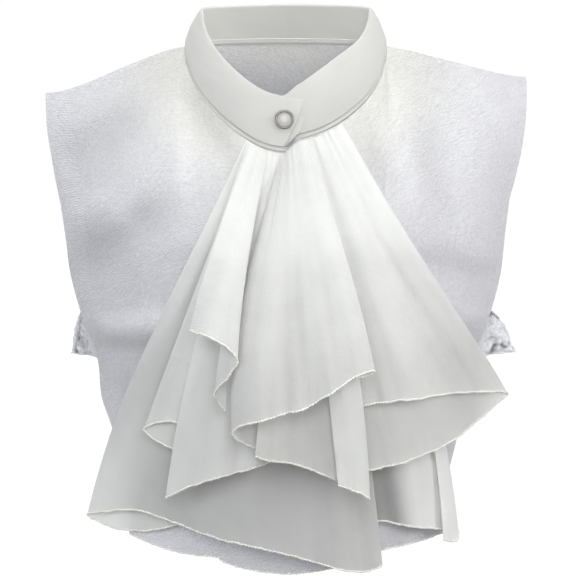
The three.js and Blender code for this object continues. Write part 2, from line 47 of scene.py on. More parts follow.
# Studio. The camera looks down a little at the worn collar through a long lens, as in the photograph.
# A pale floor fills the picture behind it, and large soft lights stand in front, above and all round.
CAMERA_REACH = 2.0
CAMERA_RISE = math.radians(10)
CAMERA_AIM = Vector((0.0014, -0.0274, -0.1554))
PICTURE_WIDTH = 0.3904
FLOOR_DROP = 0.75

camera = bpy.data.objects.new("camera", bpy.data.cameras.new("camera"))
bpy.context.collection.objects.link(camera)
camera.location = (0, -CAMERA_REACH * math.cos(CAMERA_RISE), CAMERA_REACH * math.sin(CAMERA_RISE))
camera.rotation_euler = (CAMERA_AIM - camera.location).to_track_quat("-Z", "Y").to_euler()
camera.data.sensor_width = 36
camera.data.lens = camera.data.sensor_width * CAMERA_REACH / PICTURE_WIDTH
camera.data.clip_end = 100
bpy.context.scene.camera = camera
bpy.context.scene.view_settings.view_transform = "Standard"


def linear(hex_colour):
    """Linear colour of an sRGB hex value such as 'F2F1EC'."""
    shades = [int(hex_colour[i:i + 2], 16) / 255 for i in (0, 2, 4)]
    return [s / 12.92 if s <= 0.04045 else ((s + 0.055) / 1.055) ** 2.4 for s in shades] + [1.0]


def add_node(tree, kind, inputs=None, **settings):
    """Adds a node, sets its own settings, then links or sets each of its inputs."""
    node = tree.nodes.new(kind)
    for key, value in settings.items():
        setattr(node, key, value)
    for socket, value in (inputs or {}).items():
        if isinstance(value, bpy.types.NodeSocket):
            tree.links.new(value, node.inputs[socket])
        else:
            node.inputs[socket].default_value = value
    return node


def new_material(name):
    """An empty node material, and the tree that its nodes go in."""
    material = bpy.data.materials.new(name)
    material.use_nodes = True
    material.node_tree.nodes.clear()
    return material, material.node_tree


# Painted studio floor: plain and nearly white, and lit evenly enough to have no shadow edge.
floor_paint, tree = new_material("studio_floor_paint")
paint = add_node(tree, "ShaderNodeBsdfDiffuse", {"Color": linear("F4F4F4")})
glow = add_node(tree, "ShaderNodeEmission", {"Color": linear("FFFFFF"), "Strength": 1.07})
even = add_node(tree, "ShaderNodeMixShader", {0: 0.93, 1: paint.outputs[0], 2: glow.outputs[0]})
add_node(tree, "ShaderNodeOutputMaterial", {"Surface": even.outputs[0]})

bpy.ops.mesh.primitive_plane_add(size=60, location=(0, 0, -FLOOR_DROP))
floor = bpy.context.object
floor.name = "studio_floor"
floor.data.materials.append(floor_paint)
floor.visible_diffuse = False
floor.visible_transmission = False
floor.select_set(False)

world = bpy.data.worlds.new("studio_air")
bpy.context.scene.world = world
world.use_nodes = True
world.node_tree.nodes.clear()
around = add_node(world.node_tree, "ShaderNodeTexCoord")
height = add_node(world.node_tree, "ShaderNodeSeparateXYZ", {0: around.outputs["Generated"]})
air = add_node(world.node_tree, "ShaderNodeMapRange", {
    "Value": height.outputs["Z"], "From Min": -1.0, "From Max": 1.0, "To Min": 0.4, "To Max": 0.37,
})
air_light = add_node(world.node_tree, "ShaderNodeBackground", {
    "Color": linear("FBFCFF"), "Strength": air.outputs[0],
})
add_node(world.node_tree, "ShaderNodeOutputWorld", {"Surface": air_light.outputs[0]})

# Each light: where it stands, how wide its soft box is, both in metres, and its power in watts.
SOFT_BOXES = {
    "light_front": {"at": (0.15, -2.2, 1.05), "wide": 1.5, "power": 31, "colour": "FFFFFF"},
    "light_right": {"at": (2.0, -0.9, 0.5), "wide": 1.0, "power": 20, "colour": "FFFEFC"},
    "light_left": {"at": (-2.1, -0.75, 0.4), "wide": 1.1, "power": 15, "colour": "FAFCFF"},
    "light_above": {"at": (0.1, -0.4, 2.0), "wide": 1.2, "power": 20, "colour": "FFFFFF"},
    "light_behind": {"at": (-0.3, 2.0, 0.7), "wide": 1.4, "power": 40, "colour": "FFFFFF"},
}
for name, box in SOFT_BOXES.items():
    lamp = bpy.data.lights.new(name, "AREA")
    lamp.shape = "SQUARE"
    lamp.size = box["wide"]
    lamp.energy = box["power"]
    lamp.color = linear(box["colour"])[:3]
    light = bpy.data.objects.new(name, lamp)
    bpy.context.collection.objects.link(light)
    light.location = box["at"]
    light.rotation_euler = (CAMERA_AIM - light.location).to_track_quat("-Z", "Y").to_euler()


# Crepe bib: one piece of pebbled polyester crepe, cut round the neck seam and out to wide armholes. It
# hangs from the shoulder seams, with its armhole edges turned in and its hem overlocked.
NECK = {"half_width": 67, "front": 60, "back": 38, "side": 6, "front_drop": 47, "back_drop": 3,
        "lap_dip": 11, "right_share": 0.35, "right_from": -3, "right_to": 9}
PIPING_RADIUS = 1.3
PIPING_GAP = 0.75
# How far the seam's dip at the front carries it forward, for each millimetre that it sinks.
DIP_FORWARD = 8 / 34
# The body under the cloth: heights and half widths, then how far its front and back stand from the neck.
BODY_WIDTH = ((-328, -290, -248, -207, -175, -120, -63, -21), (134, 128, 124, 129, 138, 147, 156, 163))
FRONT_PROFILE = ((-328, -220, -170, -120, -60), (-94, -104, -110, -108, -104))
BACK_PROFILE = ((-328, -200, -120, -60, 0), (88, 94, 99, 90, 66))
# The shoulder line: distances from the middle, and heights.
SHOULDER = ((0, 67, 105, 141, 163), (13, 6, -5, -17, -21))
# The panels' cut edges: heights and half widths.
PANEL_EDGE = ((-328, -290, -255, -236, -207, -178, -150, -120, -63, -21),
              (108, 109, 119, 127, 130, 139, 146, 149, 157, 163))
SHOULDER_Y = 3
ROUND_OVER = 120
FLATTEN = 0.8
NECK_DRAW = 60
NECK_EASE = 10
NECK_REACH = 110
SOFT_FROM = 4
SOFT_OVER = 20
CREPE_WALL = 0.6
BACK_INSET = 3
# As worn, the left shoulder hangs this much lower than the middle, and the right one as much higher.
SHOULDER_TILT = 5.5
TILT_OVER = 0.45
PANEL_HEM = -324
FRONT_HEM_DIP = 13
# Soft folds pressed or pulled into the bib. Columns: x and z where each starts, x and z where it ends, how
# far it stands out, and how wide it is.
BIB_FOLDS = [
    (-80, -38, -115, -108, 5.4, 12),
    (-150, -72, -104, -36, -6.0, 13),
    (-146, -110, -122, -88, 3.0, 9),
    (-142, -142, -92, -96, -7.0, 14),
    (-80, -164, -126, -180, 5.2, 9),
    (-128, -196, -86, -186, -2.4, 8),
    (-60, -22, -38, -46, -6.6, 8),
    (-70, -30, -72, -76, 3.6, 9),
    (70, -14, 87, -90, 4.2, 9),
    (50, -36, 56, -72, -4.4, 9),
    (92, -52, 104, -104, -3.6, 11),
    (118, -60, 128, -136, 3.4, 12),
    (92, -122, 138, -146, -3.4, 11),
    (100, -160, 132, -176, 4.5, 10),
    (-110, -246, -98, -318, 3.0, 10),
]
# Painted shade where other cloth keeps light from the bib, beside the lap and between the lower ruffles, and
# painted light at the lower left, where cloth adds to it.
BIB_SHADES = [
    (-60, -34, -38, -52, -0.1, 9),
    (76, -316, 104, -306, -0.2, 12),
    (-112, -318, -78, -328, 0.12, 12),
]
# How deep the back's neckline counts as, and how far the collar's warm light, painted into the crepe's
# colour, reaches past the seam: both as shares of half the neck's width.
BACK_NECK_SHARE = 0.8
WARM_REACH = 0.75
# The bib's hem waves a little, and sags beside the bottom ruffle.
BIB_HEM = {"wave": 1.5, "sag": 2.6, "sag_at": -74, "sag_width": 22}
# The armhole edges are turned in, which shows as a small step this high, between these distances.
TURNED_STEP = 0.28
TURNED_AT = (-6.2, -4.6)
rng = np.random.default_rng(7)
LATTICE = rng.uniform(-1, 1, (64, 64))


def smooth(value, low, high):
    part = np.clip((value - low) / (high - low), 0, 1)
    return part * part * (3 - 2 * part)


def lerp(a, b, part):
    return a + (b - a) * part


def noise(a, b):
    """Soft seeded noise from -1 to 1, one lump for each step of 1 in a and in b."""
    i, j = np.floor(a).astype(int), np.floor(b).astype(int)
    p, q = smooth(a - i, 0, 1), smooth(b - j, 0, 1)
    size = len(LATTICE)
    corners = [[LATTICE[(i + m) % size, (j + n) % size] for n in (0, 1)] for m in (0, 1)]
    return lerp(lerp(corners[0][0], corners[1][0], p), lerp(corners[0][1], corners[1][1], p), q)


def ease(start, end, leaving, arriving, part):
    """A cubic from one value to the next, with the slope at each."""
    return (start * (1 + 2 * part) * (1 - part) ** 2 + leaving * part * (1 - part) ** 2
            + end * part * part * (3 - 2 * part) + arriving * part * part * (part - 1))


def read(table, at):
    """Smooth reading of a table of places and values, level past its ends."""
    places, values = np.array(table, float)
    slopes = np.zeros(len(places))
    slopes[1:-1] = (values[2:] - values[:-2]) / (places[2:] - places[:-2])
    i = np.clip(np.searchsorted(places, at, side="right") - 1, 0, len(places) - 2)
    width = places[i + 1] - places[i]
    part = np.clip((at - places[i]) / width, 0, 1)
    return ease(values[i], values[i + 1], slopes[i] * width, slopes[i + 1] * width, part)


def lap_dip(degrees):
    """How far the seam sinks at the lap: wholly along the left end, about a third as far along the right."""
    whole = NECK["lap_dip"] * np.maximum(0, np.cos(np.radians(degrees))) ** 6
    share = lerp(1, NECK["right_share"], smooth(degrees, NECK["right_from"], NECK["right_to"]))
    return np.where(degrees > 180, whole, whole * share)


def neck_seam(degrees):
    """Neck seam by angle: 0 at the middle of the front, 90 at the right, past 180 the side that laps over."""
    s, c = np.sin(np.radians(degrees)), np.cos(np.radians(degrees))
    dip = lap_dip(degrees)
    forward = NECK["front"] * c + dip * DIP_FORWARD
    y = np.where(c <= 0, -NECK["back"] * c, -forward)
    z = np.where(c <= 0, NECK["side"] + NECK["back_drop"] * c, NECK["side"] - NECK["front_drop"] * c - dip)
    return np.stack([NECK["half_width"] * s, y, z], -1)


def seam_at(x, is_front, soft=0.0):
    """Where the neck seam crosses this distance from the middle; a soft crossing turns its side gently."""
    across = x / NECK["half_width"]
    inside = 1 - across ** 2
    angle = np.degrees(np.arctan2(across, np.sqrt((inside + np.hypot(inside, soft)) / 2)))
    return neck_seam(np.where(angle < 0, angle + 360, angle) if is_front else 180 - angle)


def body_depth(reach, z, is_front):
    """Depth of the body's front or back: it rounds over from the shoulder line."""
    shoulder = SHOULDER_Y * smooth(reach, NECK["half_width"], NECK["half_width"] + 30)
    across = np.minimum(1.25, reach / read(BODY_WIDTH, z))
    full = read(FRONT_PROFILE if is_front else BACK_PROFILE, z) * (1 - FLATTEN * across ** 2.4)
    down = np.clip((read(SHOULDER, reach) - z) / ROUND_OVER, 0, 1)
    return lerp(shoulder, full, 1 - (1 - down) ** 1.8)


def panel_depth(x, z, is_front):
    """Depth of a panel's cloth: on the body, and drawn in to the neck seam above."""
    reach, across = np.abs(x), x / NECK["half_width"]
    drop = NECK["front_drop"] if is_front else NECK["back_drop"]
    below = (seam_at(x, is_front)[..., 2] - z) / drop + np.sqrt(np.maximum(0, 1 - across ** 2))
    away = drop * np.maximum(0, np.hypot(across, np.maximum(0, below)) - 1)
    seam = seam_at(x, is_front, (np.maximum(0, away - SOFT_FROM) / SOFT_OVER) ** 2)
    middle = seam_at(x * 0, is_front)
    swell = np.cos(np.pi / 2 * np.minimum(1, reach / NECK_REACH)) ** 2
    broad = (middle[..., 1] - body_depth(x * 0, middle[..., 2], is_front)) * swell
    below_neck = np.maximum(0, lerp(NECK["side"], middle[..., 2], swell) - z)
    exact = seam[..., 1] - body_depth(np.minimum(reach, NECK["half_width"]), seam[..., 2], is_front)
    drawn = lerp(broad * np.exp(-below_neck / NECK_DRAW), exact, np.exp(-away / NECK_EASE))
    return body_depth(reach, z, is_front) + drawn


def beside_piping(degrees):
    """How far above or below the seam a cloth edge lies, to clear the piping where the seam slopes."""
    step = neck_seam(degrees + 1) - neck_seam(degrees - 1)
    return (PIPING_RADIUS + PIPING_GAP) * np.linalg.norm(step, axis=-1) / np.hypot(step[..., 0], step[..., 1])


def panel_outline(u, down, is_front):
    """x and z of a panel's cloth: u runs from -1 to 1 across, down from 0 at the seams to 1 at the hem."""
    angle = 180 * u if is_front else 180 - 180 * u
    seam = neck_seam(np.where(angle < 0, angle + 360, angle))
    tucked = PIPING_RADIUS - 0.2
    neck_x = seam[..., 0] + tucked * np.sin(np.pi * u)
    neck_z = seam[..., 2] - tucked * np.maximum(0, np.cos(np.pi * u)) ** 0.6
    widest = SHOULDER[0][-1]
    out = lerp(NECK["half_width"] + tucked, widest, np.abs(u) * 2 - 1)
    top_x = np.where(np.abs(u) < 0.5, neck_x, np.sign(u) * out)
    top_z = np.where(np.abs(u) < 0.5, neck_z, read(SHOULDER, out))
    hem = PANEL_HEM - (FRONT_HEM_DIP * np.cos(np.pi / 2 * u) ** 4 if is_front else 0)
    z = lerp(top_z, hem, down)
    inset = 0 if is_front else BACK_INSET * smooth(down, 0, 0.3)
    half = read(PANEL_EDGE, z) - inset
    x = lerp(top_x, top_x / widest * half, np.minimum(1, down * 4))
    return x, z


def folds_at(x, z, folds):
    """How far the listed folds lift the cloth at a place."""
    total = np.zeros_like(x)
    for start_x, start_z, end_x, end_z, rise, wide in folds:
        run_x, run_z = end_x - start_x, end_z - start_z
        length = math.hypot(run_x, run_z)
        part = ((x - start_x) * run_x + (z - start_z) * run_z) / length ** 2
        aside = ((x - start_x) * run_z - (z - start_z) * run_x) / length
        past = np.maximum(0, np.abs(part - 0.5) - 0.35) * length
        total += rise * np.exp(-(aside / wide) ** 2 - (past / (wide * 1.6)) ** 2)
    return total


def lengths(points):
    """Distance along each row of points, from its start."""
    steps = np.linalg.norm(np.diff(points, axis=-2), axis=-1)
    return np.concatenate([np.zeros(steps.shape[:-1] + (1,)), np.cumsum(steps, axis=-1)], axis=-1)


def mesh_piece(name, points, faces, cloth=None):
    """A new object from points in millimetres, faces, and where each point lies on the flat cloth."""
    mesh = bpy.data.meshes.new(name)
    mesh.from_pydata((points.reshape(-1, 3) * MM).tolist(), [], faces)
    if cloth is not None:
        layer = mesh.uv_layers.new(name="cloth")
        corners = np.empty(len(mesh.loops), dtype=np.int32)
        mesh.loops.foreach_get("vertex_index", corners)
        layer.data.foreach_set("uv", (cloth.reshape(-1, 2) * MM)[corners].ravel())
    mesh.polygons.foreach_set("use_smooth", [True] * len(mesh.polygons))
    piece = bpy.data.objects.new(name, mesh)
    bpy.context.collection.objects.link(piece)
    return piece


def grid_faces(rows, columns, closed=False):
    """Quads between rows of points; a closed grid joins each row's end to its start."""
    place = np.arange(rows * columns).reshape(rows, columns)
    if closed:
        place = np.concatenate([place, place[:, :1]], axis=1)
    corners = [place[:-1, :-1], place[:-1, 1:], place[1:, 1:], place[1:, :-1]]
    return np.stack(corners, -1).reshape(-1, 4).tolist()


def capped_faces(rows, columns):
    """The faces of rings of points joined into a closed sweep, with one face over each end."""
    last = (rows - 1) * columns
    ends = [list(range(columns))[::-1], list(range(last, last + columns))]
    return grid_faces(rows, columns, closed=True) + ends


def rounded(part, least):
    """How full a round end is, where part runs from 0 at its tip to 1 where it is whole."""
    return np.sqrt(np.clip(1 - (1 - np.minimum(1, part)) ** 2, least, 1))


def apply_modifier(piece, kind, **settings):
    modifier = piece.modifiers.new(kind.lower(), kind)
    for key, value in settings.items():
        setattr(modifier, key, value)
    bpy.context.view_layer.objects.active = piece
    piece.select_set(True)
    bpy.ops.object.modifier_apply(modifier=modifier.name)
    piece.select_set(False)


def cloth_sheet(name, points, thick, cloth=None):
    """A sheet of cloth from a grid of points, as a thin closed wall."""
    if cloth is None:
        middle = points.shape[0] // 2
        across = np.broadcast_to(lengths(points[middle] * (1, 1, 0)), points.shape[:2])
        down = lengths(points.transpose(1, 0, 2)).T
        cloth = np.stack([across, down[-1:] - down], -1)
    piece = mesh_piece(name, points, grid_faces(*points.shape[:2]), cloth)
    apply_modifier(piece, "SOLIDIFY", thickness=thick * MM, offset=0)
    piece.data.set_sharp_from_angle(angle=math.radians(60))
    return piece


def add_shade(piece, name, values):
    """Gives each point of both faces of a sheet a value that its material reads."""
    shades = piece.data.attributes.new(name, "FLOAT", "POINT")
    shades.data.foreach_set("value", np.tile(values.ravel(), 2))


def panel_points(is_front, columns, rows):
    """Places on a panel, how far each lies in from its armhole edge, and its share of the way down."""
    u = np.linspace(-1, 1, columns)
    # The columns that start at the neck are spread, so that none crowd together beside the shoulders.
    near = np.minimum(1, np.abs(u) * 2)
    u = np.where(near < 1, np.sign(u) * (near + np.arcsin(near) * 2 / np.pi) / 4, u)
    u, down = np.meshgrid(u, np.linspace(0, 1, rows) ** 1.5)
    if not is_front:
        u = -u
    x, z = panel_outline(u, down, is_front)
    from_edge = read(PANEL_EDGE, z) - np.abs(x)
    waver = noise(z / 34 + 3, np.sign(u) * 2 + 9) * 1.1 * smooth(-z, 20, 60)
    x += np.sign(u) * waver * smooth(np.abs(u), 0.6, 1)
    seam_gap = lerp(CREPE_WALL / 2 + 0.02, 0.55, smooth(down, 0, 0.06))
    side = -1 if is_front else 1
    y = panel_depth(x, z, is_front) + side * seam_gap
    tilt = SHOULDER_TILT * np.sign(x) * smooth(np.abs(x), NECK["half_width"], SHOULDER[0][-1])
    z += tilt * (1 - smooth(down, 0, TILT_OVER))
    return x, y, z, from_edge, down


def near_neck(x, z, is_front):
    """1 beside the collar, falling to 0 away from it: how much painted warm light from the collar the crepe's
    colour takes.
    """
    across = x / NECK["half_width"]
    below = (NECK["side"] - z) / (NECK["front_drop"] if is_front else NECK["half_width"] * BACK_NECK_SHARE)
    away = np.hypot(across, np.maximum(0, below)) - (1 if is_front else 0)
    return np.exp(-(np.maximum(0, away) / WARM_REACH) ** 2)


x, y, z, from_edge, down = panel_points(True, 221, 171)
settled = smooth(down, 0.0, 0.1)
drape = folds_at(x, z, BIB_FOLDS) + 1.4 * noise(x / 31 + 5, z / 44) + 0.5 * noise(x / 13, z / 17)
y -= settled * drape * smooth(from_edge, -6, 18)
y -= TURNED_STEP * smooth(-from_edge, *TURNED_AT)
hem_sag = BIB_HEM["sag"] * np.exp(-((x - BIB_HEM["sag_at"]) / BIB_HEM["sag_width"]) ** 2)
z += smooth(down, 0.9, 1) * (BIB_HEM["wave"] * noise(x / 22 + 7, x * 0 + 2.5) - hem_sag)
bib = cloth_sheet("front_panel_crepe", np.stack([x, y, z], -1), CREPE_WALL)
# Painted shade and light on the bib: darker in the valleys of its folds and in the listed patches, lighter on
# the ridges and in one patch.
add_shade(bib, "painted_light_and_shade", np.clip(1 + 0.02 * drape, 0.84, 1.04) + folds_at(x, z, BIB_SHADES))
# Painted warm light from the collar, strongest beside it.
add_shade(bib, "painted_collar_light", near_neck(x, z, True))


def new_cloth(name):
    """An empty material, its tree, and where each point lies on the flat cloth."""
    material, tree = new_material(name)
    return material, tree, add_node(tree, "ShaderNodeUVMap", uv_map="cloth").outputs[0]


def wave_scale(spacing):
    """The scale of a wave texture whose rows lie this many millimetres apart."""
    return 2 * math.pi / (20 * spacing * MM)


def uneven(tree, place, scale, detail, low, high):
    """The broad, soft unevenness of a cloth's shade, from a low to a high value."""
    clouds = add_node(tree, "ShaderNodeTexNoise", {"Vector": place, "Scale": scale, "Detail": detail})
    return add_node(tree, "ShaderNodeMapRange", {
        "Value": clouds.outputs[0], "From Min": 0.3, "From Max": 0.7, "To Min": low, "To Max": high,
    }).outputs[0]


def shaded(tree, colour, *shades):
    """A colour made lighter or darker by one or more shades, multiplied together."""
    shade = shades[0]
    for other in shades[1:]:
        shade = add_node(tree, "ShaderNodeMath", {0: shade, 1: other}, operation="MULTIPLY").outputs[0]
    return add_node(tree, "ShaderNodeVectorMath", {0: colour, "Scale": shade}, operation="SCALE").outputs[0]


def finish_cloth(tree, colour, relief, rough, sheen=(0.0, 0.5), glow=None, share=0.0):
    """A cloth's matt face and, if it has a glow, its share of light that comes through the cloth."""
    normal = relief.outputs[0]
    cloth = add_node(tree, "ShaderNodeBsdfPrincipled", {
        "Base Color": colour, "Roughness": rough, "Sheen Weight": sheen[0], "Sheen Roughness": sheen[1],
        "Normal": normal,
    })
    if glow:
        through = add_node(tree, "ShaderNodeBsdfTranslucent", {"Color": linear(glow), "Normal": normal})
        cloth = add_node(tree, "ShaderNodeMixShader", {0: share, 1: cloth.outputs[0], 2: through.outputs[0]})
    add_node(tree, "ShaderNodeOutputMaterial", {"Surface": cloth.outputs[0]})


# Polyester moss crepe, woven from hard-twisted yarn: matt, cool white, and pebbled all over in slanting
# rows. The rows are drawn 1.5 mm apart, about twice the real ones, so that they show.
PEBBLE = 1.5
SLANT = (0, 0, math.radians(30))
crepe, tree, flat = new_cloth("polyester_moss_crepe")
stretched, slanted = (add_node(tree, "ShaderNodeMapping", {
    "Vector": flat, "Rotation": SLANT, "Scale": (along_row, 1, 1),
}, vector_type="TEXTURE").outputs[0] for along_row in (1.9, 1))
pebbles = add_node(tree, "ShaderNodeTexVoronoi", {
    "Vector": stretched, "Scale": 1 / (PEBBLE * MM), "Randomness": 0.85,
}, feature="SMOOTH_F1")
yarn = add_node(tree, "ShaderNodeTexNoise", {
    "Vector": stretched, "Scale": 1 / (PEBBLE * 0.8 * MM), "Detail": 2.0,
})
rows = add_node(tree, "ShaderNodeTexWave", {
    "Vector": slanted, "Scale": wave_scale(PEBBLE), "Distortion": 3.0, "Detail": 2.0,
    "Detail Scale": 1.4,
}, bands_direction="Y")
lumps = add_node(tree, "ShaderNodeMath", {
    0: pebbles.outputs["Distance"], 1: yarn.outputs[0],
}, operation="SUBTRACT")
grain = add_node(tree, "ShaderNodeMath", {
    0: rows.outputs[1], 1: -0.32, 2: lumps.outputs[0],
}, operation="MULTIPLY_ADD")
pebble_shade = add_node(tree, "ShaderNodeMapRange", {
    "Value": grain.outputs[0], "From Min": -0.9, "From Max": 0.4, "To Min": 1.1, "To Max": 0.83,
})
# Painted shade and light: the valleys of its soft folds are darkened a little and the ridges lightened, with
# patches of painted shade and light, and the back is painted lighter by its neck seam.
# Beside the collar it is painted a little warmer, for the collar's warm light.
painted_light_and_shade = add_node(tree, "ShaderNodeAttribute", attribute_name="painted_light_and_shade")
painted_collar_light = add_node(tree, "ShaderNodeAttribute", attribute_name="painted_collar_light")
white = add_node(tree, "ShaderNodeMixRGB", {
    0: painted_collar_light.outputs["Fac"], 1: linear("E7E7EB"), 2: linear("EBEBE5"),
})
cloud_shade = uneven(tree, flat, 14.0, 2.0, 0.97, 1.02)
shaded_colour = shaded(tree, white.outputs[0], pebble_shade.outputs[0], cloud_shade, painted_light_and_shade.outputs["Fac"])
relief = add_node(tree, "ShaderNodeBump", {
    "Height": grain.outputs[0], "Strength": 0.8, "Distance": 0.6 * MM,
}, invert=True)
finish_cloth(tree, shaded_colour, relief, 0.9, (0.15, 0.6), "EDEDF0", 0.28)


def finish_piece(piece, material, slot, *nodes):
    """Gives a made piece its material and its body, and hides the frame nodes that it stands for. The slot is
    not used.
    """
    piece.data.materials.clear()
    piece.data.materials.append(material)
    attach(piece, "root")
    if nodes:
        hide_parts(*nodes)


finish_piece(bib, crepe, "crepe", "front_panel")


def tube(name, path, radius, sides=8, cloth_scale=1.0):
    """A closed round cord along points in millimetres, its radius given at each point."""
    path = np.asarray(path, float)
    radius = np.broadcast_to(radius, len(path)).copy()
    heading = np.gradient(path, axis=0)
    heading /= np.linalg.norm(heading, axis=1)[:, None]
    aside = np.cross(heading[0], (0.31, 0.2, 0.93))
    rings = []
    for place, ahead, r in zip(path, heading, radius):
        aside = aside - ahead * aside.dot(ahead)
        aside /= np.linalg.norm(aside)
        up = np.cross(ahead, aside)
        turn = np.linspace(0, 2 * np.pi, sides, endpoint=False)[:, None]
        rings.append(place + r * (np.cos(turn) * aside + np.sin(turn) * up))
    points = np.stack(rings)
    count = len(path)
    faces = [face[::-1] for face in capped_faces(count, sides)]
    run = lengths(path)[:, None] * np.ones(sides)
    around = np.linspace(0, 1, sides) * 2 * np.pi * radius.mean() * np.ones((count, 1))
    return mesh_piece(name, points.reshape(-1, 3), faces, np.stack([run, around], -1) * cloth_scale)


# Overlocked hems: three threads looped over each raw edge, sewn about 2 mm apart, so that the edge is a
# narrow bumpy cord. A little cream next to the white cloth.
HEM_RADIUS = 0.8
PANEL_HEM_RADIUS = 0.7
STITCH = 2.1


def hem_cord(name, edge, radius=HEM_RADIUS):
    """A stitched hem along an edge in millimetres."""
    edge = np.asarray(edge, float)
    run = lengths(edge)
    steps = max(12, int(run[-1] / 0.45))
    at = np.linspace(0, run[-1], steps)
    path = np.stack([np.interp(at, run, edge[:, k]) for k in range(3)], -1)
    turn = at / STITCH + 0.35 * noise(at / 9 + len(name), at * 0 + 1.5)
    loops = np.abs(np.sin(np.pi * turn))
    size = radius * (0.5 + 0.65 * loops + 0.2 * noise(at / 1.7, at * 0 + 4.5))
    path[:, 2] -= radius * 0.25 * loops
    path += 0.3 * radius * np.stack([noise(at / 2.3 + 11, at * 0 + k) for k in range(3)], -1)
    return tube(name, path, size * rounded(np.minimum(at, run[-1] - at) / radius, 0.04), 8)


# Overlock thread: matt, faintly warm white, with its plies as fine slanting lines, 0.7 mm apart to show.
THREAD_TWIST = 0.7
thread, tree, flat = new_cloth("overlock_thread")
twist = add_node(tree, "ShaderNodeTexWave", {
    "Vector": flat, "Scale": wave_scale(THREAD_TWIST), "Distortion": 2.0,
}, bands_direction="DIAGONAL").outputs[0]
ply = add_node(tree, "ShaderNodeMapRange", {"Value": twist, "To Min": 0.93, "To Max": 1.02}).outputs[0]
relief = add_node(tree, "ShaderNodeBump", {"Height": twist, "Strength": 0.4, "Distance": 0.15 * MM})
finish_cloth(tree, shaded(tree, linear("E6E5DE")[:3], ply), relief, 0.75, (0.25, 0.5))

bib_edge = np.stack([x, y, z], -1)[-1]
bib_hem = hem_cord("front_panel_hem", bib_edge, PANEL_HEM_RADIUS)
finish_piece(bib_hem, thread, "crepe")


# Crepe back: the plain half of the bib, of the same crepe, from the shoulder seams and the back of the
# neck down to its own hem. Its edges lie a little inside the front's.
x, y, z, from_edge, down = panel_points(False, 161, 121)
y += smooth(down, 0.02, 0.2) * (0.8 * noise(x / 37, z / 52 + 8) + 0.3 * noise(x / 15 + 3, z / 19))
y += TURNED_STEP * smooth(BACK_INSET - from_edge, *TURNED_AT)
back = cloth_sheet("back_panel_crepe", np.stack([x, y, z], -1), CREPE_WALL)
# Painted light on the back: its colour is lightened all over and most beside the neck seam, where it is also
# painted warmer for the collar's light.
by_seam = near_neck(x, z, False)
add_shade(back, "painted_light_and_shade", 1.08 + 0.2 * by_seam)
add_shade(back, "painted_collar_light", by_seam)
back_hem = hem_cord("back_panel_hem", np.stack([x, y, z], -1)[-1], PANEL_HEM_RADIUS)
finish_piece(back, crepe, "crepe", "back_panel")
finish_piece(back_hem, thread, "crepe")


# Collar band: a straight standing band of interlined cotton, pressed flat and curved round the neck. Its
# rim is a fold, its left end laps over its right at the front, and its foot is caught in the neck seam.
BAND = {"wall": 2, "side_height": 26, "front_rise": 8, "back_rise": 1.5, "lean": 10.5, "front_lean": 8,
        "back_lean": 15, "side_lean": 4, "bulge": 1.5, "right_rise": 5.5, "right_at": 38, "right_width": 24,
        "sag": 2.5, "sag_at": 7, "sag_width": 8}
LAP = {"under_end": -16, "over_base": -0.5, "over_top": 12, "spread": 1.35, "ease_from": 22, "ease_to": 80,
       "tuck": 2, "tuck_from": -12, "tuck_to": 2, "tip_drop": 4.5, "tip_from": 354, "tip_to": 374}
BAND_STATIONS = 400
BAND_RISES = 22
RIM_STEPS = 8


def band_rise(degrees):
    """Height of the rim above the seam: tall at the front and right, tucked down under the lap."""
    c = np.cos(np.radians(degrees))
    front, rear = np.maximum(0, c), np.maximum(0, -c)
    right_side = np.exp(-((degrees - BAND["right_at"]) / BAND["right_width"]) ** 2)
    beside_lap = np.exp(-((degrees - BAND["sag_at"]) / BAND["sag_width"]) ** 2)
    return (BAND["side_height"] + BAND["front_rise"] * front + BAND["back_rise"] * rear
            + BAND["right_rise"] * right_side - BAND["sag"] * beside_lap
            - LAP["tuck"] * (1 - smooth(degrees, LAP["tuck_from"], LAP["tuck_to"]))
            - LAP["tip_drop"] * smooth(degrees, LAP["tip_from"], LAP["tip_to"]))


def band_point(degrees, height, lift=None, out=None):
    """Place on the band: angle as on the neck seam, height from 0 at the seam to 1 at the rim."""
    place = neck_seam(degrees)
    s, c = np.sin(np.radians(degrees)), np.cos(np.radians(degrees))
    front, rear = np.maximum(0, c), np.maximum(0, -c)
    under = 1 - smooth(degrees, LAP["ease_from"], LAP["ease_to"])
    over = smooth(degrees, 360 - LAP["ease_to"], 360 - LAP["ease_from"])
    if out is None:
        out = LAP["spread"] * (over - under)
    out = out + BAND["bulge"] * 4 * height * (1 - height)
    if lift is None:
        lift = beside_piping(degrees) + BAND["wall"] / 4
    x = place[..., 0] + s * (out - BAND["lean"] * height)
    y = place[..., 1] - c * out + height * (
        BAND["front_lean"] * front - BAND["back_lean"] * rear - BAND["side_lean"] * np.abs(s))
    z = place[..., 2] + lift + (band_rise(degrees) - lift) * height
    return np.stack([x, y, z], -1)


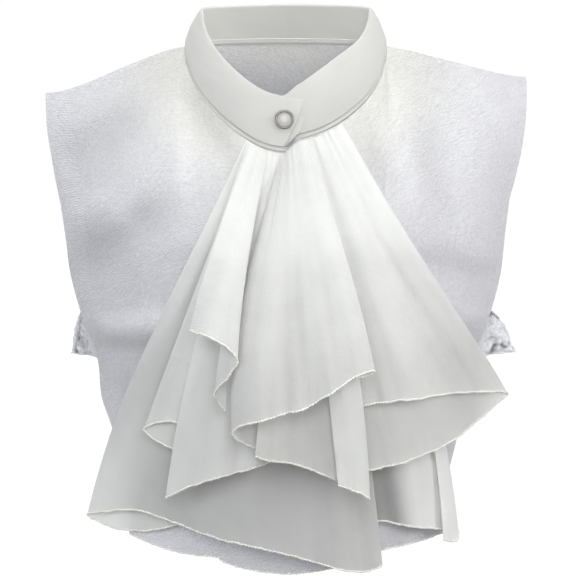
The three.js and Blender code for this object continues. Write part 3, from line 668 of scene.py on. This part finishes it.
def pressed_strip(name, degrees_at, heights, thick, out=None, stations=BAND_STATIONS):
    """A pressed strip of cloth on the band's surface, with its rim and its two ends rounded."""
    u = np.linspace(0, 1, stations)[:, None]
    h = np.linspace(*heights, BAND_RISES)[None, :]

    def middle_at(u, h):
        return band_point(degrees_at(u, h), h, out=out)

    middle = middle_at(u, h)
    step = 1e-3
    along_u = middle_at(np.minimum(1, u + step), h) - middle_at(np.maximum(0, u - step), h)
    along_h = middle_at(u, h + step) - middle_at(u, h - step)
    outward = np.cross(along_u, along_h)
    outward /= np.linalg.norm(outward, axis=-1)[..., None]
    up = along_h / np.linalg.norm(along_h, axis=-1)[..., None]
    run = lengths(middle.transpose(1, 0, 2)).T
    from_end = np.minimum(run, run[-1:] - run)
    half = thick / 2 * rounded(from_end / (thick / 2), 0.03)
    pressed = 0.3 * noise(run / 24, h * 2.4 + 5) + 0.12 * noise(run / 9 + 2, h * 5)
    middle = middle + outward * pressed[..., None]
    outer = middle + outward * half[..., None]
    inner = middle - outward * half[..., None]
    rim = []
    for turn in np.linspace(0, np.pi, RIM_STEPS + 2)[1:-1]:
        rim.append(middle[:, -1] + half[:, -1:] * (np.cos(turn) * outward[:, -1] + np.sin(turn) * up[:, -1]))
    loop = np.concatenate([outer, np.stack(rim, 1), inner[:, ::-1]], axis=1)
    around = loop.shape[1]
    length = np.concatenate([run, np.repeat(run[:, -1:], len(rim), 1), run[:, ::-1]], axis=1)
    girth = lengths(loop)
    return mesh_piece(name, loop, capped_faces(stations, around), np.stack([length, girth], -1))


def whole_band(u, h):
    return lerp(LAP["under_end"], 360 + lerp(LAP["over_base"], LAP["over_top"], h), u)


band = pressed_strip("collar_band_cloth", whole_band, (0, 1), BAND["wall"])
band.data.set_sharp_from_angle(angle=math.radians(70))

# The facing inside the lapping end shows past it as a light strip, wide at the foot and narrow at the rim.
FACING = {"foot": 0, "widest": 8.5, "widest_at": 0.3, "rim": 13.5, "start": 352}


def facing_band(u, h):
    below = lerp(FACING["foot"], FACING["widest"], np.minimum(1, h / FACING["widest_at"]))
    above = np.maximum(0, h - FACING["widest_at"]) / (1 - FACING["widest_at"])
    end = 360 + below + (FACING["rim"] - FACING["widest"]) * above
    return lerp(FACING["start"] + h * 4, end, u)


facing = pressed_strip("lap_facing", facing_band, (0.0, 0.97), 0.5, out=0.12, stations=60)
facing.data.set_sharp_from_angle(angle=math.radians(70))


def plain_weave(tree, place, spacing, waver, detail, detail_scale, crossing):
    """The warp and weft of a cloth, this many millimetres apart, crossed into one height."""
    warp, weft = (add_node(tree, "ShaderNodeTexWave", {
        "Vector": place, "Scale": wave_scale(spacing), "Distortion": waver, "Detail": detail,
        "Detail Scale": detail_scale,
    }, bands_direction=way).outputs[1] for way in "XY")
    return add_node(tree, "ShaderNodeMath", {0: warp, 1: weft}, operation=crossing).outputs[0]


# Fused cotton poplin: close plain weave, nearly smooth, with a soft sheen from pressing. The threads are
# drawn 0.9 mm apart, several times the real spacing, so that they show at all.
POPLIN_THREAD = 0.9
poplin, tree, flat = new_cloth("fused_cotton_poplin")
weave = plain_weave(tree, flat, POPLIN_THREAD, 0.6, 1.0, 2.0, "MULTIPLY")
weave_shade = add_node(tree, "ShaderNodeMapRange", {"Value": weave, "To Min": 0.985, "To Max": 1.01})
cloud_shade = uneven(tree, flat, 45.0, 3.0, 0.955, 1.02)
shaded_colour = shaded(tree, linear("E6E6E3")[:3], cloud_shade, weave_shade.outputs[0])
relief = add_node(tree, "ShaderNodeBump", {"Height": weave, "Strength": 0.12, "Distance": 0.1 * MM})
finish_cloth(tree, shaded_colour, relief, 0.72, (0.12, 0.5), "F0F0EC", 0.42)

finish_piece(band, poplin, "collar_cloth", "collar_band")
finish_piece(facing, poplin, "collar_cloth")


# Neck piping: a bias strip of the collar's cloth folded over a thin cord and caught in the neck seam, so
# that two fine ridges run side by side round the foot of the band.
PIPING_UNDER_END = 4
PIPING_OVER_END = 1.5
PIPING_STOPS = 420
# Each ridge: its radius, and how far above the seam its middle runs.
PIPING_CORDS = {"piping_main": (1.3, -0.25), "piping_fine": (0.5, 1.35)}

turns = np.linspace(PIPING_UNDER_END, 360 + PIPING_OVER_END, PIPING_STOPS)
seam_path = band_point(turns, 0.0, lift=0.0)
from_end = np.minimum(np.arange(PIPING_STOPS), np.arange(PIPING_STOPS)[::-1])
cords = []
for name, (radius, shift) in PIPING_CORDS.items():
    cords.append(tube(name, seam_path + (0, 0, shift), radius * rounded(from_end / 3, 0.05), 14))
for cord in cords:
    cord.select_set(True)
bpy.context.view_layer.objects.active = cords[0]
bpy.ops.object.join()
piping = bpy.context.object
piping.name = "neck_piping_cord"
piping.select_set(False)
finish_piece(piping, poplin, "collar_cloth", "neck_piping")


# Snap: a pearl-grey disc in a dark polished ring, pressed through the lap, with a plain post and flange
# behind. The ring and the disc are turned and stamped brass, and the post is the frame's own node.
SNAP = {"ring": 6.3, "ring_inside": 5.0, "ring_height": 1.7, "cap": 4.7, "cap_height": 1.3,
        "gap": 0.3, "angle": -1, "height": 0.56}


def snap_axis(height):
    """The turn and place that set a piece made along +Z on the snap's axis, this high off the band."""
    angle = np.array([360.0 + SNAP["angle"] + step for step in (0, 1, -1)])
    at = band_point(angle, SNAP["height"])
    up = band_point(angle[:1], SNAP["height"] + 0.1)[0] - at[0]
    up = Vector(up).normalized()
    across = Vector(at[1] - at[2]).normalized()
    outward = across.cross(up).normalized()
    place = Vector(at[0]) + outward * height
    side = up.cross(outward)
    turned = Matrix((side, up, outward)).transposed().to_4x4()
    turned.translation = place * MM
    return turned


def select_nothing(piece):
    """Leaves edit mode and deselects every point, edge and face."""
    bpy.ops.object.mode_set(mode="OBJECT")
    for kind in (piece.data.vertices, piece.data.edges, piece.data.polygons):
        for part in kind:
            part.select = False


def select_faces(piece, chosen):
    """Selects, in edit mode, the faces that the test picks."""
    select_nothing(piece)
    for face in piece.data.polygons:
        face.select = bool(chosen(face))
    bpy.ops.object.mode_set(mode="EDIT")


def select_edges(piece, chosen):
    """Selects, in edit mode, the edges whose two ends the test picks."""
    select_nothing(piece)
    for edge in piece.data.edges:
        ends = [piece.data.vertices[k].co for k in edge.vertices]
        edge.select = bool(chosen(*ends))
    bpy.ops.object.mode_set(mode="EDIT")


def radius_of(place):
    return math.hypot(place.x, place.y)


def start_disc(name, radius, height):
    """A low round blank standing on z = 0, in edit mode."""
    bpy.ops.mesh.primitive_cylinder_add(vertices=72, radius=radius * MM, depth=height * MM,
                                        location=(0, 0, height * MM / 2))
    piece = bpy.context.object
    piece.name = name
    bpy.ops.object.transform_apply(location=True, rotation=True, scale=True)
    bpy.ops.object.mode_set(mode="EDIT")
    bpy.ops.mesh.select_mode(type="FACE")
    return piece


def seat_on_snap(piece, height):
    """Leaves edit mode and sets the piece on the snap's axis, with its place in its mesh."""
    bpy.ops.object.mode_set(mode="OBJECT")
    piece.matrix_world = snap_axis(height)
    bpy.ops.object.transform_apply(location=True, rotation=True, scale=True)
    bpy.ops.object.shade_smooth_by_angle(angle=math.radians(35))
    piece.select_set(False)


ring = start_disc("snap_ring_metal", SNAP["ring"], SNAP["ring_height"])
select_faces(ring, lambda face: abs(face.normal.z) > 0.9)
bpy.ops.mesh.inset(thickness=(SNAP["ring"] - SNAP["ring_inside"]) * MM)
bpy.ops.mesh.delete(type="FACE")
bpy.ops.mesh.select_mode(type="EDGE")
bore = SNAP["ring_inside"] * MM
select_edges(ring, lambda a, b: max(radius_of(a), radius_of(b)) < bore * 1.02 and abs(a.z - b.z) < 1e-6)
bpy.ops.mesh.bridge_edge_loops()
top = SNAP["ring_height"] * MM
select_edges(ring, lambda a, b: min(a.z, b.z) > top * 0.99 and abs(radius_of(a) - radius_of(b)) < 1e-6
             and radius_of(a) > SNAP["ring"] * MM * 0.99)
bpy.ops.mesh.bevel(offset=0.8 * MM, segments=6, profile=0.6)
select_edges(ring, lambda a, b: min(a.z, b.z) > top * 0.99 and max(radius_of(a), radius_of(b)) < bore * 1.01)
bpy.ops.mesh.bevel(offset=0.35 * MM, segments=4, profile=0.5)
seat_on_snap(ring, BAND["wall"] / 2 + SNAP["gap"])

cap = start_disc("snap_cap_disc", SNAP["cap"], SNAP["cap_height"] * 0.7)
select_faces(cap, lambda face: face.normal.z > 0.9)
for inset, lift in ((0.4, 0.0), (0.3, -0.16), (0.35, 0.12), (0.9, 0.26), (1.0, 0.16), (0.8, 0.06)):
    bpy.ops.mesh.inset(thickness=inset * MM)
    bpy.ops.transform.translate(value=(0, 0, lift * MM))
select_edges(cap, lambda a, b: abs(a.z - b.z) < 1e-7 and min(a.z, b.z) > SNAP["cap_height"] * 0.69 * MM
             and min(radius_of(a), radius_of(b)) > SNAP["cap"] * MM * 0.99)
bpy.ops.mesh.bevel(offset=0.25 * MM, segments=3, profile=0.6)
seat_on_snap(cap, BAND["wall"] / 2 + SNAP["gap"])

# Black-nickel plated brass, turned and polished: dark, hard, with a fine turned grain round the ring.
nickel, tree = new_material("black_nickel_plated_brass")
place = add_node(tree, "ShaderNodeTexCoord").outputs["Object"]
wear = add_node(tree, "ShaderNodeTexNoise", {"Vector": place, "Scale": 900.0, "Detail": 3.0}).outputs[0]
worn_rough = add_node(tree, "ShaderNodeMapRange", {"Value": wear, "To Min": 0.2, "To Max": 0.36})
tone = add_node(tree, "ShaderNodeMapRange", {"Value": wear, "To Min": 0.85, "To Max": 1.1})
scuffs = add_node(tree, "ShaderNodeBump", {"Height": wear, "Strength": 0.1, "Distance": 0.05 * MM})
metal = add_node(tree, "ShaderNodeBsdfPrincipled", {
    "Base Color": shaded(tree, linear("72716C")[:3], tone.outputs[0]), "Metallic": 1.0,
    "Roughness": worn_rough.outputs[0], "Normal": scuffs.outputs[0],
})
add_node(tree, "ShaderNodeOutputMaterial", {"Surface": metal.outputs[0]})

# Pearl lacquer over stamped brass: pale grey, smooth and glossy, with a faint cloudiness under the gloss.
pearl, tree = new_material("pearl_grey_lacquer")
place = add_node(tree, "ShaderNodeTexCoord").outputs["Object"]
cloudy = add_node(tree, "ShaderNodeTexNoise", {"Vector": place, "Scale": 420.0, "Detail": 3.0}).outputs[0]
tone = add_node(tree, "ShaderNodeMapRange", {"Value": cloudy, "To Min": 0.86, "To Max": 1.06})
disc = add_node(tree, "ShaderNodeBsdfPrincipled", {
    "Base Color": shaded(tree, linear("B2B1AD")[:3], tone.outputs[0]), "Metallic": 0.1, "Roughness": 0.34,
    "Coat Weight": 0.25, "Coat Roughness": 0.12,
})
add_node(tree, "ShaderNodeOutputMaterial", {"Surface": disc.outputs[0]})

finish_piece(ring, nickel, "snap_metal", "snap_ring")
finish_piece(cap, pearl, "snap_pearl", "snap_cap")
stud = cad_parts["snap_stud"]
for slot in stud.material_slots:
    slot.material = nickel


# Side tabs: soft elastic in a casing of the crepe, so short for its cloth that it puckers all along. Each
# end is stitched flat inside the edge of the front or the back panel, and the free length sags a little.
TAB = {"wall": 0.5, "height": 28, "middle": -194, "seat": 2.2, "seam_shift": 0.55, "stitched": 10,
       "clear_of": 2, "sink": 1}
# How far each tab stands out past the panels' edges at its top and at its foot, as it flares downwards.
TAB_OUT = {-1: (2, 17), 1: (4, 27)}
# Where the tab's free length passes: its share of the way out, and of the depth from front to back.
TAB_ROUND = ((0.42, 0.24), (1, 0.48), (0.95, 0.62), (0.4, 0.8))


def tab_path(z, out, side_steps):
    """The tab's route at each height: inside the bib's edge, out round the side, inside the back's edge."""
    half = read(PANEL_EDGE, z)

    def inside(is_front, from_edge):
        turn = 1 if is_front else -1
        x = half - from_edge - (0 if is_front else BACK_INSET)
        slope = (panel_depth(x + 1, z, is_front) - panel_depth(x - 1, z, is_front)) / 2
        reach = TAB["seat"] / np.hypot(1, slope)
        y = panel_depth(x, z, is_front) - turn * TAB["seam_shift"] + reach * turn
        return np.stack([x - reach * np.abs(slope), y, z], -1)

    on_panel = (TAB["stitched"], TAB["stitched"] / 2, -TAB["clear_of"])
    stops = [inside(True, from_edge) for from_edge in on_panel]
    front_y, back_y = stops[-1][:, 1], inside(False, -TAB["clear_of"])[:, 1]
    for share, depth in TAB_ROUND:
        stops.append(np.stack([half + share * out, lerp(front_y, back_y, depth), z], -1))
    stops += [inside(False, from_edge) for from_edge in on_panel[::-1]]
    stops = np.stack(stops)
    at = np.linspace(0, len(stops) - 1 - 1e-9, side_steps)
    i = at.astype(int)
    part = (at - i)[:, None, None]
    a, b = stops[np.maximum(i - 1, 0)], stops[i]
    c, d = stops[i + 1], stops[np.minimum(i + 2, len(stops) - 1)]
    return ease(b, c, (c - a) / 2, (d - b) / 2, part)


def side_tab(side, name):
    """One ruched tab; side is -1 for the left and 1 for the right."""
    rows, columns = 49, 221
    v = np.linspace(0, 1, rows)
    out = lerp(*TAB_OUT[side], v ** 0.75)
    points = tab_path(TAB["middle"] + TAB["height"] * (0.5 - v), out, columns).transpose(1, 0, 2)
    u, v = np.meshgrid(np.linspace(0, 1, columns), v)
    along_u = np.gradient(points, axis=1)
    normal = np.cross(along_u, (0, 0, 1.0))
    normal /= np.linalg.norm(normal, axis=-1)[..., None]
    free = smooth(u, 0.23, 0.36) * (1 - smooth(u, 0.66, 0.76))
    phase = side * 7 + 20
    bend = 2.2 * noise(u * 9 + phase, v * 3)
    pucker = 1 - 2 * np.abs(noise(u * 30 + bend + phase, v * 5.2 + 3))
    crumple = noise(u * 46 + phase, v * 13 + 2)
    frill = (np.abs(v - 0.5) * 2) ** 3 * noise(u * 26 + phase + 5, v * 0 + 6.5)
    deep = 1.3 * pucker + 0.8 * crumple + 0.8 * frill
    points = points + normal * (free * deep)[..., None]
    points[..., 2] += free * (0.7 * frill + 0.9 * noise(u * 21 + phase, v * 4 + 9))
    points[..., 2] -= free * TAB["sink"]
    points[..., 0] *= side
    piece = cloth_sheet(name, points, TAB["wall"])
    # Painted shade: how far the casing's colour is darkened, deepest in the creases of its free length.
    add_shade(piece, "painted_crease_shadow", free * np.clip(0.5 - 0.55 * pucker - 0.45 * crumple, 0, 1) ** 1.3)
    return piece


# Crepe casing over rubber elastic: dull, cool white and fuzzy, with painted shade darkening it down in its
# creases.
FUZZ = 1.1
elastic, tree, flat = new_cloth("puckered_elastic_casing")
fibres = add_node(tree, "ShaderNodeTexNoise", {
    "Vector": flat, "Scale": 1 / (FUZZ * MM), "Detail": 3.0,
}).outputs[0]
fuzz_shade = add_node(tree, "ShaderNodeMapRange", {
    "Value": fibres, "From Min": 0.3, "From Max": 0.7, "To Min": 0.82, "To Max": 1.05,
})
painted_crease_shadow = add_node(tree, "ShaderNodeAttribute", attribute_name="painted_crease_shadow")
painted_crease_dark = add_node(tree, "ShaderNodeMapRange", {
    "Value": painted_crease_shadow.outputs["Fac"], "To Min": 1.0, "To Max": 0.2,
})
shaded_colour = shaded(tree, linear("DEDFE4")[:3], fuzz_shade.outputs[0], painted_crease_dark.outputs[0])
relief = add_node(tree, "ShaderNodeBump", {"Height": fibres, "Strength": 0.5, "Distance": 0.3 * MM})
finish_cloth(tree, shaded_colour, relief, 0.9)

for side, word in ((-1, "left"), (1, "right")):
    tab = side_tab(side, "elastic_tab_" + word + "_casing")
    finish_piece(tab, elastic, "elastic", "elastic_tab_" + word)


# Jabot: fan-shaped pieces of chiffon, gathered into the neck seam and falling to and fro in folds. Each is
# one sheet with an overlocked edge. Its table walks along the hem, fold by fold.
# Columns: x and z of the hem, how far it stands off the bib, where that line starts along the neck seam,
# its place in the stack there, and how far the line bows to the right.
CHIFFON_WALL = 0.3
JABOT_SHEETS = {
    "jabot_bottom_ruffle": [
        (-70, -305, 3, -15, 0.25, -4), (-92, -315, 3, -18, 0.25, -5), (-114, -320, 4, -22, 0.25, -7),
        (-138, -319, 6, -26, 0.6, -11), (-121, -308, 10, -25, 1.0, -9), (-99, -301, 10, -23, 1.0, -6),
        (-66, -306, 8, -18, 1.0, -3), (-26, -312, 13, -8, 1.0, 0), (9, -321, 10, 2, 1.05, 0),
        (34, -329, 13, 10, 1.05, 0), (52, -334, 10, 16, 1.05, 2), (65, -331, 13, 19, 1.05, 4),
    ],
    "jabot_right_tail": [
        (40, -299, 3, 12, -0.1, 0), (53, -300, 5, 16, -0.1, 0), (66, -302, 7, 20, -0.1, 1),
        (79, -306, 10, 24, -0.1, 4), (92, -310, 8, 27, -0.1, 8), (105, -315, 10, 30, -0.1, 11),
        (117, -318, 12, 33, -0.1, 13), (117, -325, 15.5, 33, 0.8, 14), (107, -322, 15, 31, 0.8, 15),
    ],
    "jabot_third_ruffle": [
        (-68, -250, 15, -19, 2.2, -2), (-82, -247, 16, -22, 2.2, -2), (-95, -240, 18, -25, 2.6, -2),
        (-86, -231, 21, -24, 3.0, -2), (-72, -227, 21, -22, 3.0, -3), (-64, -245, 20, -20, 3.0, -5),
        (-74, -276, 22, -21, 3.4, -7), (-80, -282, 25, -22, 3.8, -7), (-66, -271, 28, -19, 4.0, -5),
        (-44, -260, 28, -14, 4.0, -3), (-26, -254, 24, -9, 3.5, -1), (-8, -248, 22, -4, 2.9, 0),
        (12, -250, 20, 1, 2.7, 0),
    ],
    "jabot_right_fold": [
        (26, -254, 21, 8, 2.2, 0), (43, -257, 21, 13, 2.2, 0), (60, -258, 24, 17, 2.2, 0),
        (84, -256, 22, 22, 2.2, 1), (111, -253, 24, 27, 2.2, 2), (134, -248, 22, 32, 2.2, 4),
        (149, -244, 22, 35, 2.5, 6), (155, -241, 26, 37, 2.9, 6), (148, -234, 30, 36, 3.2, 6),
        (134, -226, 31, 33, 3.2, 5), (110, -216, 29, 28, 3.2, 4), (82, -210, 32, 23, 3.2, 3),
        (60, -210, 28, 18, 3.2, 3), (46, -212, 27, 14, 3.2, 2), (32, -215, 26, 10, 3.2, 1),
    ],
    "jabot_second_ruffle": [
        (-20, -238, 42, 4, 5.6, -2), (-8, -242, 41, 5, 5.55, -1), (9, -246, 37, 6, 5.55, 0),
        (26, -254, 37, 8, 5.55, 1), (44, -264, 35, 10, 5.55, 6), (55, -274, 38, 12, 6.05, 9),
        (50, -268, 43, 12, 6.4, 8), (42, -263, 45, 10.5, 6.4, 5), (34, -259, 43, 9, 6.4, 1),
    ],
    "jabot_left_fold": [
        (-62, -155, 53, -23, 7.3, -4), (-54, -154, 57, -20, 7.3, -3), (-45, -157, 59, -16.5, 7.3, -3),
        (-36, -163, 58, -12.5, 7.3, -3.5), (-31, -171, 55, -11.5, 6.9, -3.5), (-38, -184, 51, -13, 6.3, -3.5),
        (-46, -195, 47, -14.5, 5.9, -4), (-43, -203, 43, -14.5, 5.3, -5), (-39, -209, 41, -13.5, 5.3, -6),
    ],
    "jabot_centre_fold": [
        (0, -238, 30, 2, 4.2, -1), (-12, -236, 31, 1, 4.15, -3), (-25, -232, 36, -1, 4.5, -6),
        (-35, -223, 46, -2.5, 6.4, -10), (-26, -213, 54, -1, 8.6, -8), (-7, -207, 56, 2.5, 8.6, -3),
        (13, -202, 54, 6, 8.6, 0), (30, -191, 57, 10, 8.6, 2), (45, -182, 55, 13, 8.6, 3),
        (57, -180, 51, 15, 8.2, 4), (52, -184, 49, 14, 7.75, 4), (42, -185, 49, 12, 7.75, 3),
        (31, -189, 49, 10, 7.75, 2),
    ],
}
# Painted light and shade for each sheet, as a factor on its colour at its first and its last rows: how much
# light comes back through it from the layers behind it.
JABOT_PAINTED_SHADE = {
    "jabot_bottom_ruffle": (1.0, 0.78), "jabot_right_tail": (0.5, 1.02), "jabot_third_ruffle": (1.03, 1.06),
    "jabot_right_fold": (0.9, 1.03), "jabot_second_ruffle": (0.86, 1.05), "jabot_left_fold": (1.0, 0.93),
    "jabot_centre_fold": (0.88, 0.99),
}
TOP_GAP = 0.6
SEAM_CLEARANCE = 1.1
CLEARANCE = 2.6
SEAM_LAYER = 0.32
LAYER = 1.62
OPENS_OVER = 80
FOLD_TENSION = 0.4
FOLD_STEPS = 14
DROP_STEPS = 110


def along(rows, t):
    """Smooth reading of a sheet's rows, where t runs from 0 at the first row to 1 at the last."""
    last = len(rows) - 1
    place = np.minimum(t * last, last - 1e-9)
    i = place.astype(int)
    a, b = rows[np.maximum(i - 1, 0)], rows[i]
    c, d = rows[i + 1], rows[np.minimum(i + 2, last)]
    return ease(b, c, (c - a) * FOLD_TENSION, (d - b) * FOLD_TENSION, (place - i)[:, None])


def shared_drape(x, below):
    """Ripples that every layer follows: fine gathers at the seam, and broad soft folds that fan out below."""
    start = x / (1 + below / 45)
    gathers = np.sin(2 * np.pi * start / 4.6 + 2.2 * noise(start / 6 + 4, below / 70))
    gathers *= 0.5 * np.exp(-below / 38)
    pleats = np.sin(2 * np.pi * start / 5.5 + 1.3 * noise(start / 4, below / 90))
    pleats *= np.exp(-((start + 16) / 9) ** 2)
    folds = noise(start / 4.6 + 13, below / 130 + 2) + 0.45 * noise(start / 2.1 + 31, below / 90)
    return gathers + smooth(below, 10, 120) * (3.2 * folds + 1.1 * pleats * np.exp(-below / 160))


def jabot_sheet(name, rows):
    """One sheet: its points, its smooth hem's run in metres, and its cloth."""
    columns = (len(rows) - 1) * FOLD_STEPS + 1
    hem_x, hem_z, hem_lift, neck, layer, bow = along(np.array(rows, float), np.linspace(0, 1, columns)).T
    v = (np.linspace(0, 1, DROP_STEPS) ** 1.3)[:, None]
    neck_z = seam_at(neck, True)[:, 2] - PIPING_RADIUS - TOP_GAP
    x = lerp(neck, hem_x, v) + bow * 4 * v * (1 - v)
    z = lerp(neck_z, hem_z, v)
    below = neck_z - z
    gathered = layer * lerp(SEAM_LAYER, LAYER, smooth(below, 0, 60))
    opened = 1 - np.exp(-below / OPENS_OVER)
    lift = lerp(SEAM_CLEARANCE, CLEARANCE, smooth(below, 0, 25)) + lerp(gathered, hem_lift, opened)
    edge = np.stack([hem_x, hem_z, hem_lift], -1)
    run = lengths(edge)
    flutes = v ** 5 * (0.9 * noise(run / 8 + len(name), v * 2 + hem_x[0]) + 0.4 * noise(run / 4 + 9, v * 3))
    z = z + v ** 8 * 0.5 * noise(run / 7 + 5, v + len(name))
    side_frill = np.exp(-(run[-1] - run) / 5) * smooth(v, 0.15, 0.4) * noise(below / 11 + 3, run / 30)
    drape = shared_drape(x, below)
    y = panel_depth(x, z, True) - lift - drape - flutes - 0.9 * side_frill
    points = np.stack([x, y, z], -1)
    drop = lengths(points.transpose(1, 0, 2)).T
    turn = lengths(points[-1]) / drop[-1].mean()
    turn -= turn.mean()
    cloth = np.stack([drop * np.sin(turn), -drop * np.cos(turn)], -1)
    sheet = cloth_sheet(name + "_chiffon", points, CHIFFON_WALL, cloth)
    # Painted light and shade: the sheet's colour is scaled from its first to its last rows, darkened in the
    # valleys of its folds and lightened a little on the ridges.
    painted_layer_shade = lerp(*JABOT_PAINTED_SHADE[name], smooth(np.linspace(0, 1, columns), 0.3, 0.5))
    add_shade(sheet, "painted_layer_shade", painted_layer_shade * np.clip(1 + 0.02 * drape, 0.9, 1.04))
    return points, run * MM, sheet


# Polyester chiffon: a thin open plain weave of twisted yarn, matt, warm white, and let light through, so
# that its shadows are soft and its folds glow. Threads are drawn 1.3 mm apart, far coarser than real.
CHIFFON_THREAD = 1.3
chiffon, tree, flat = new_cloth("polyester_chiffon")
weave = plain_weave(tree, flat, CHIFFON_THREAD, 1.5, 2.0, 1.5, "ADD")
weave_shade = add_node(tree, "ShaderNodeMapRange", {
    "Value": weave, "From Min": 0.0, "From Max": 2.0, "To Min": 0.955, "To Max": 1.03,
})
cloud_shade = uneven(tree, flat, 60.0, 4.0, 0.965, 1.02)
# Painted shade: where fewer layers lie behind, the colour is darkened, as less light comes back through the
# cloth.
painted_layer_shade = add_node(tree, "ShaderNodeAttribute", attribute_name="painted_layer_shade")
shaded_colour = shaded(tree, linear("F5F6F5")[:3], cloud_shade, weave_shade.outputs[0], painted_layer_shade.outputs["Fac"])
crinkle = add_node(tree, "ShaderNodeTexNoise", {"Vector": flat, "Scale": 110.0, "Detail": 2.0})
crinkled = add_node(tree, "ShaderNodeBump", {
    "Height": crinkle.outputs[0], "Strength": 0.35, "Distance": 1.6 * MM,
})
relief = add_node(tree, "ShaderNodeBump", {
    "Height": weave, "Strength": 0.3, "Distance": 0.15 * MM, "Normal": crinkled.outputs[0],
})
finish_cloth(tree, shaded_colour, relief, 0.85, (0.2, 0.4), "F9F9F6", 0.45)

for name, rows in JABOT_SHEETS.items():
    points, hem_run, sheet = jabot_sheet(name, rows)
    hem = hem_cord(name + "_hem", points[-1])
    finish_piece(sheet, chiffon, "chiffon", name)
    finish_piece(hem, thread, "chiffon")
    # The cut is a spiral fan, whose edges curve in: narrow strips, as long as the cloth's lines, and as wide
    # as the cloth at the top, the middle and the hem. The small waves of the stretched hem aren't in it.
    drops = lengths(points.transpose(1, 0, 2))[:, -1] * MM
    top, middle = (np.linalg.norm(np.diff(points[row], axis=0), axis=1) * MM
                   for row in (0, DROP_STEPS * 6 // 11))
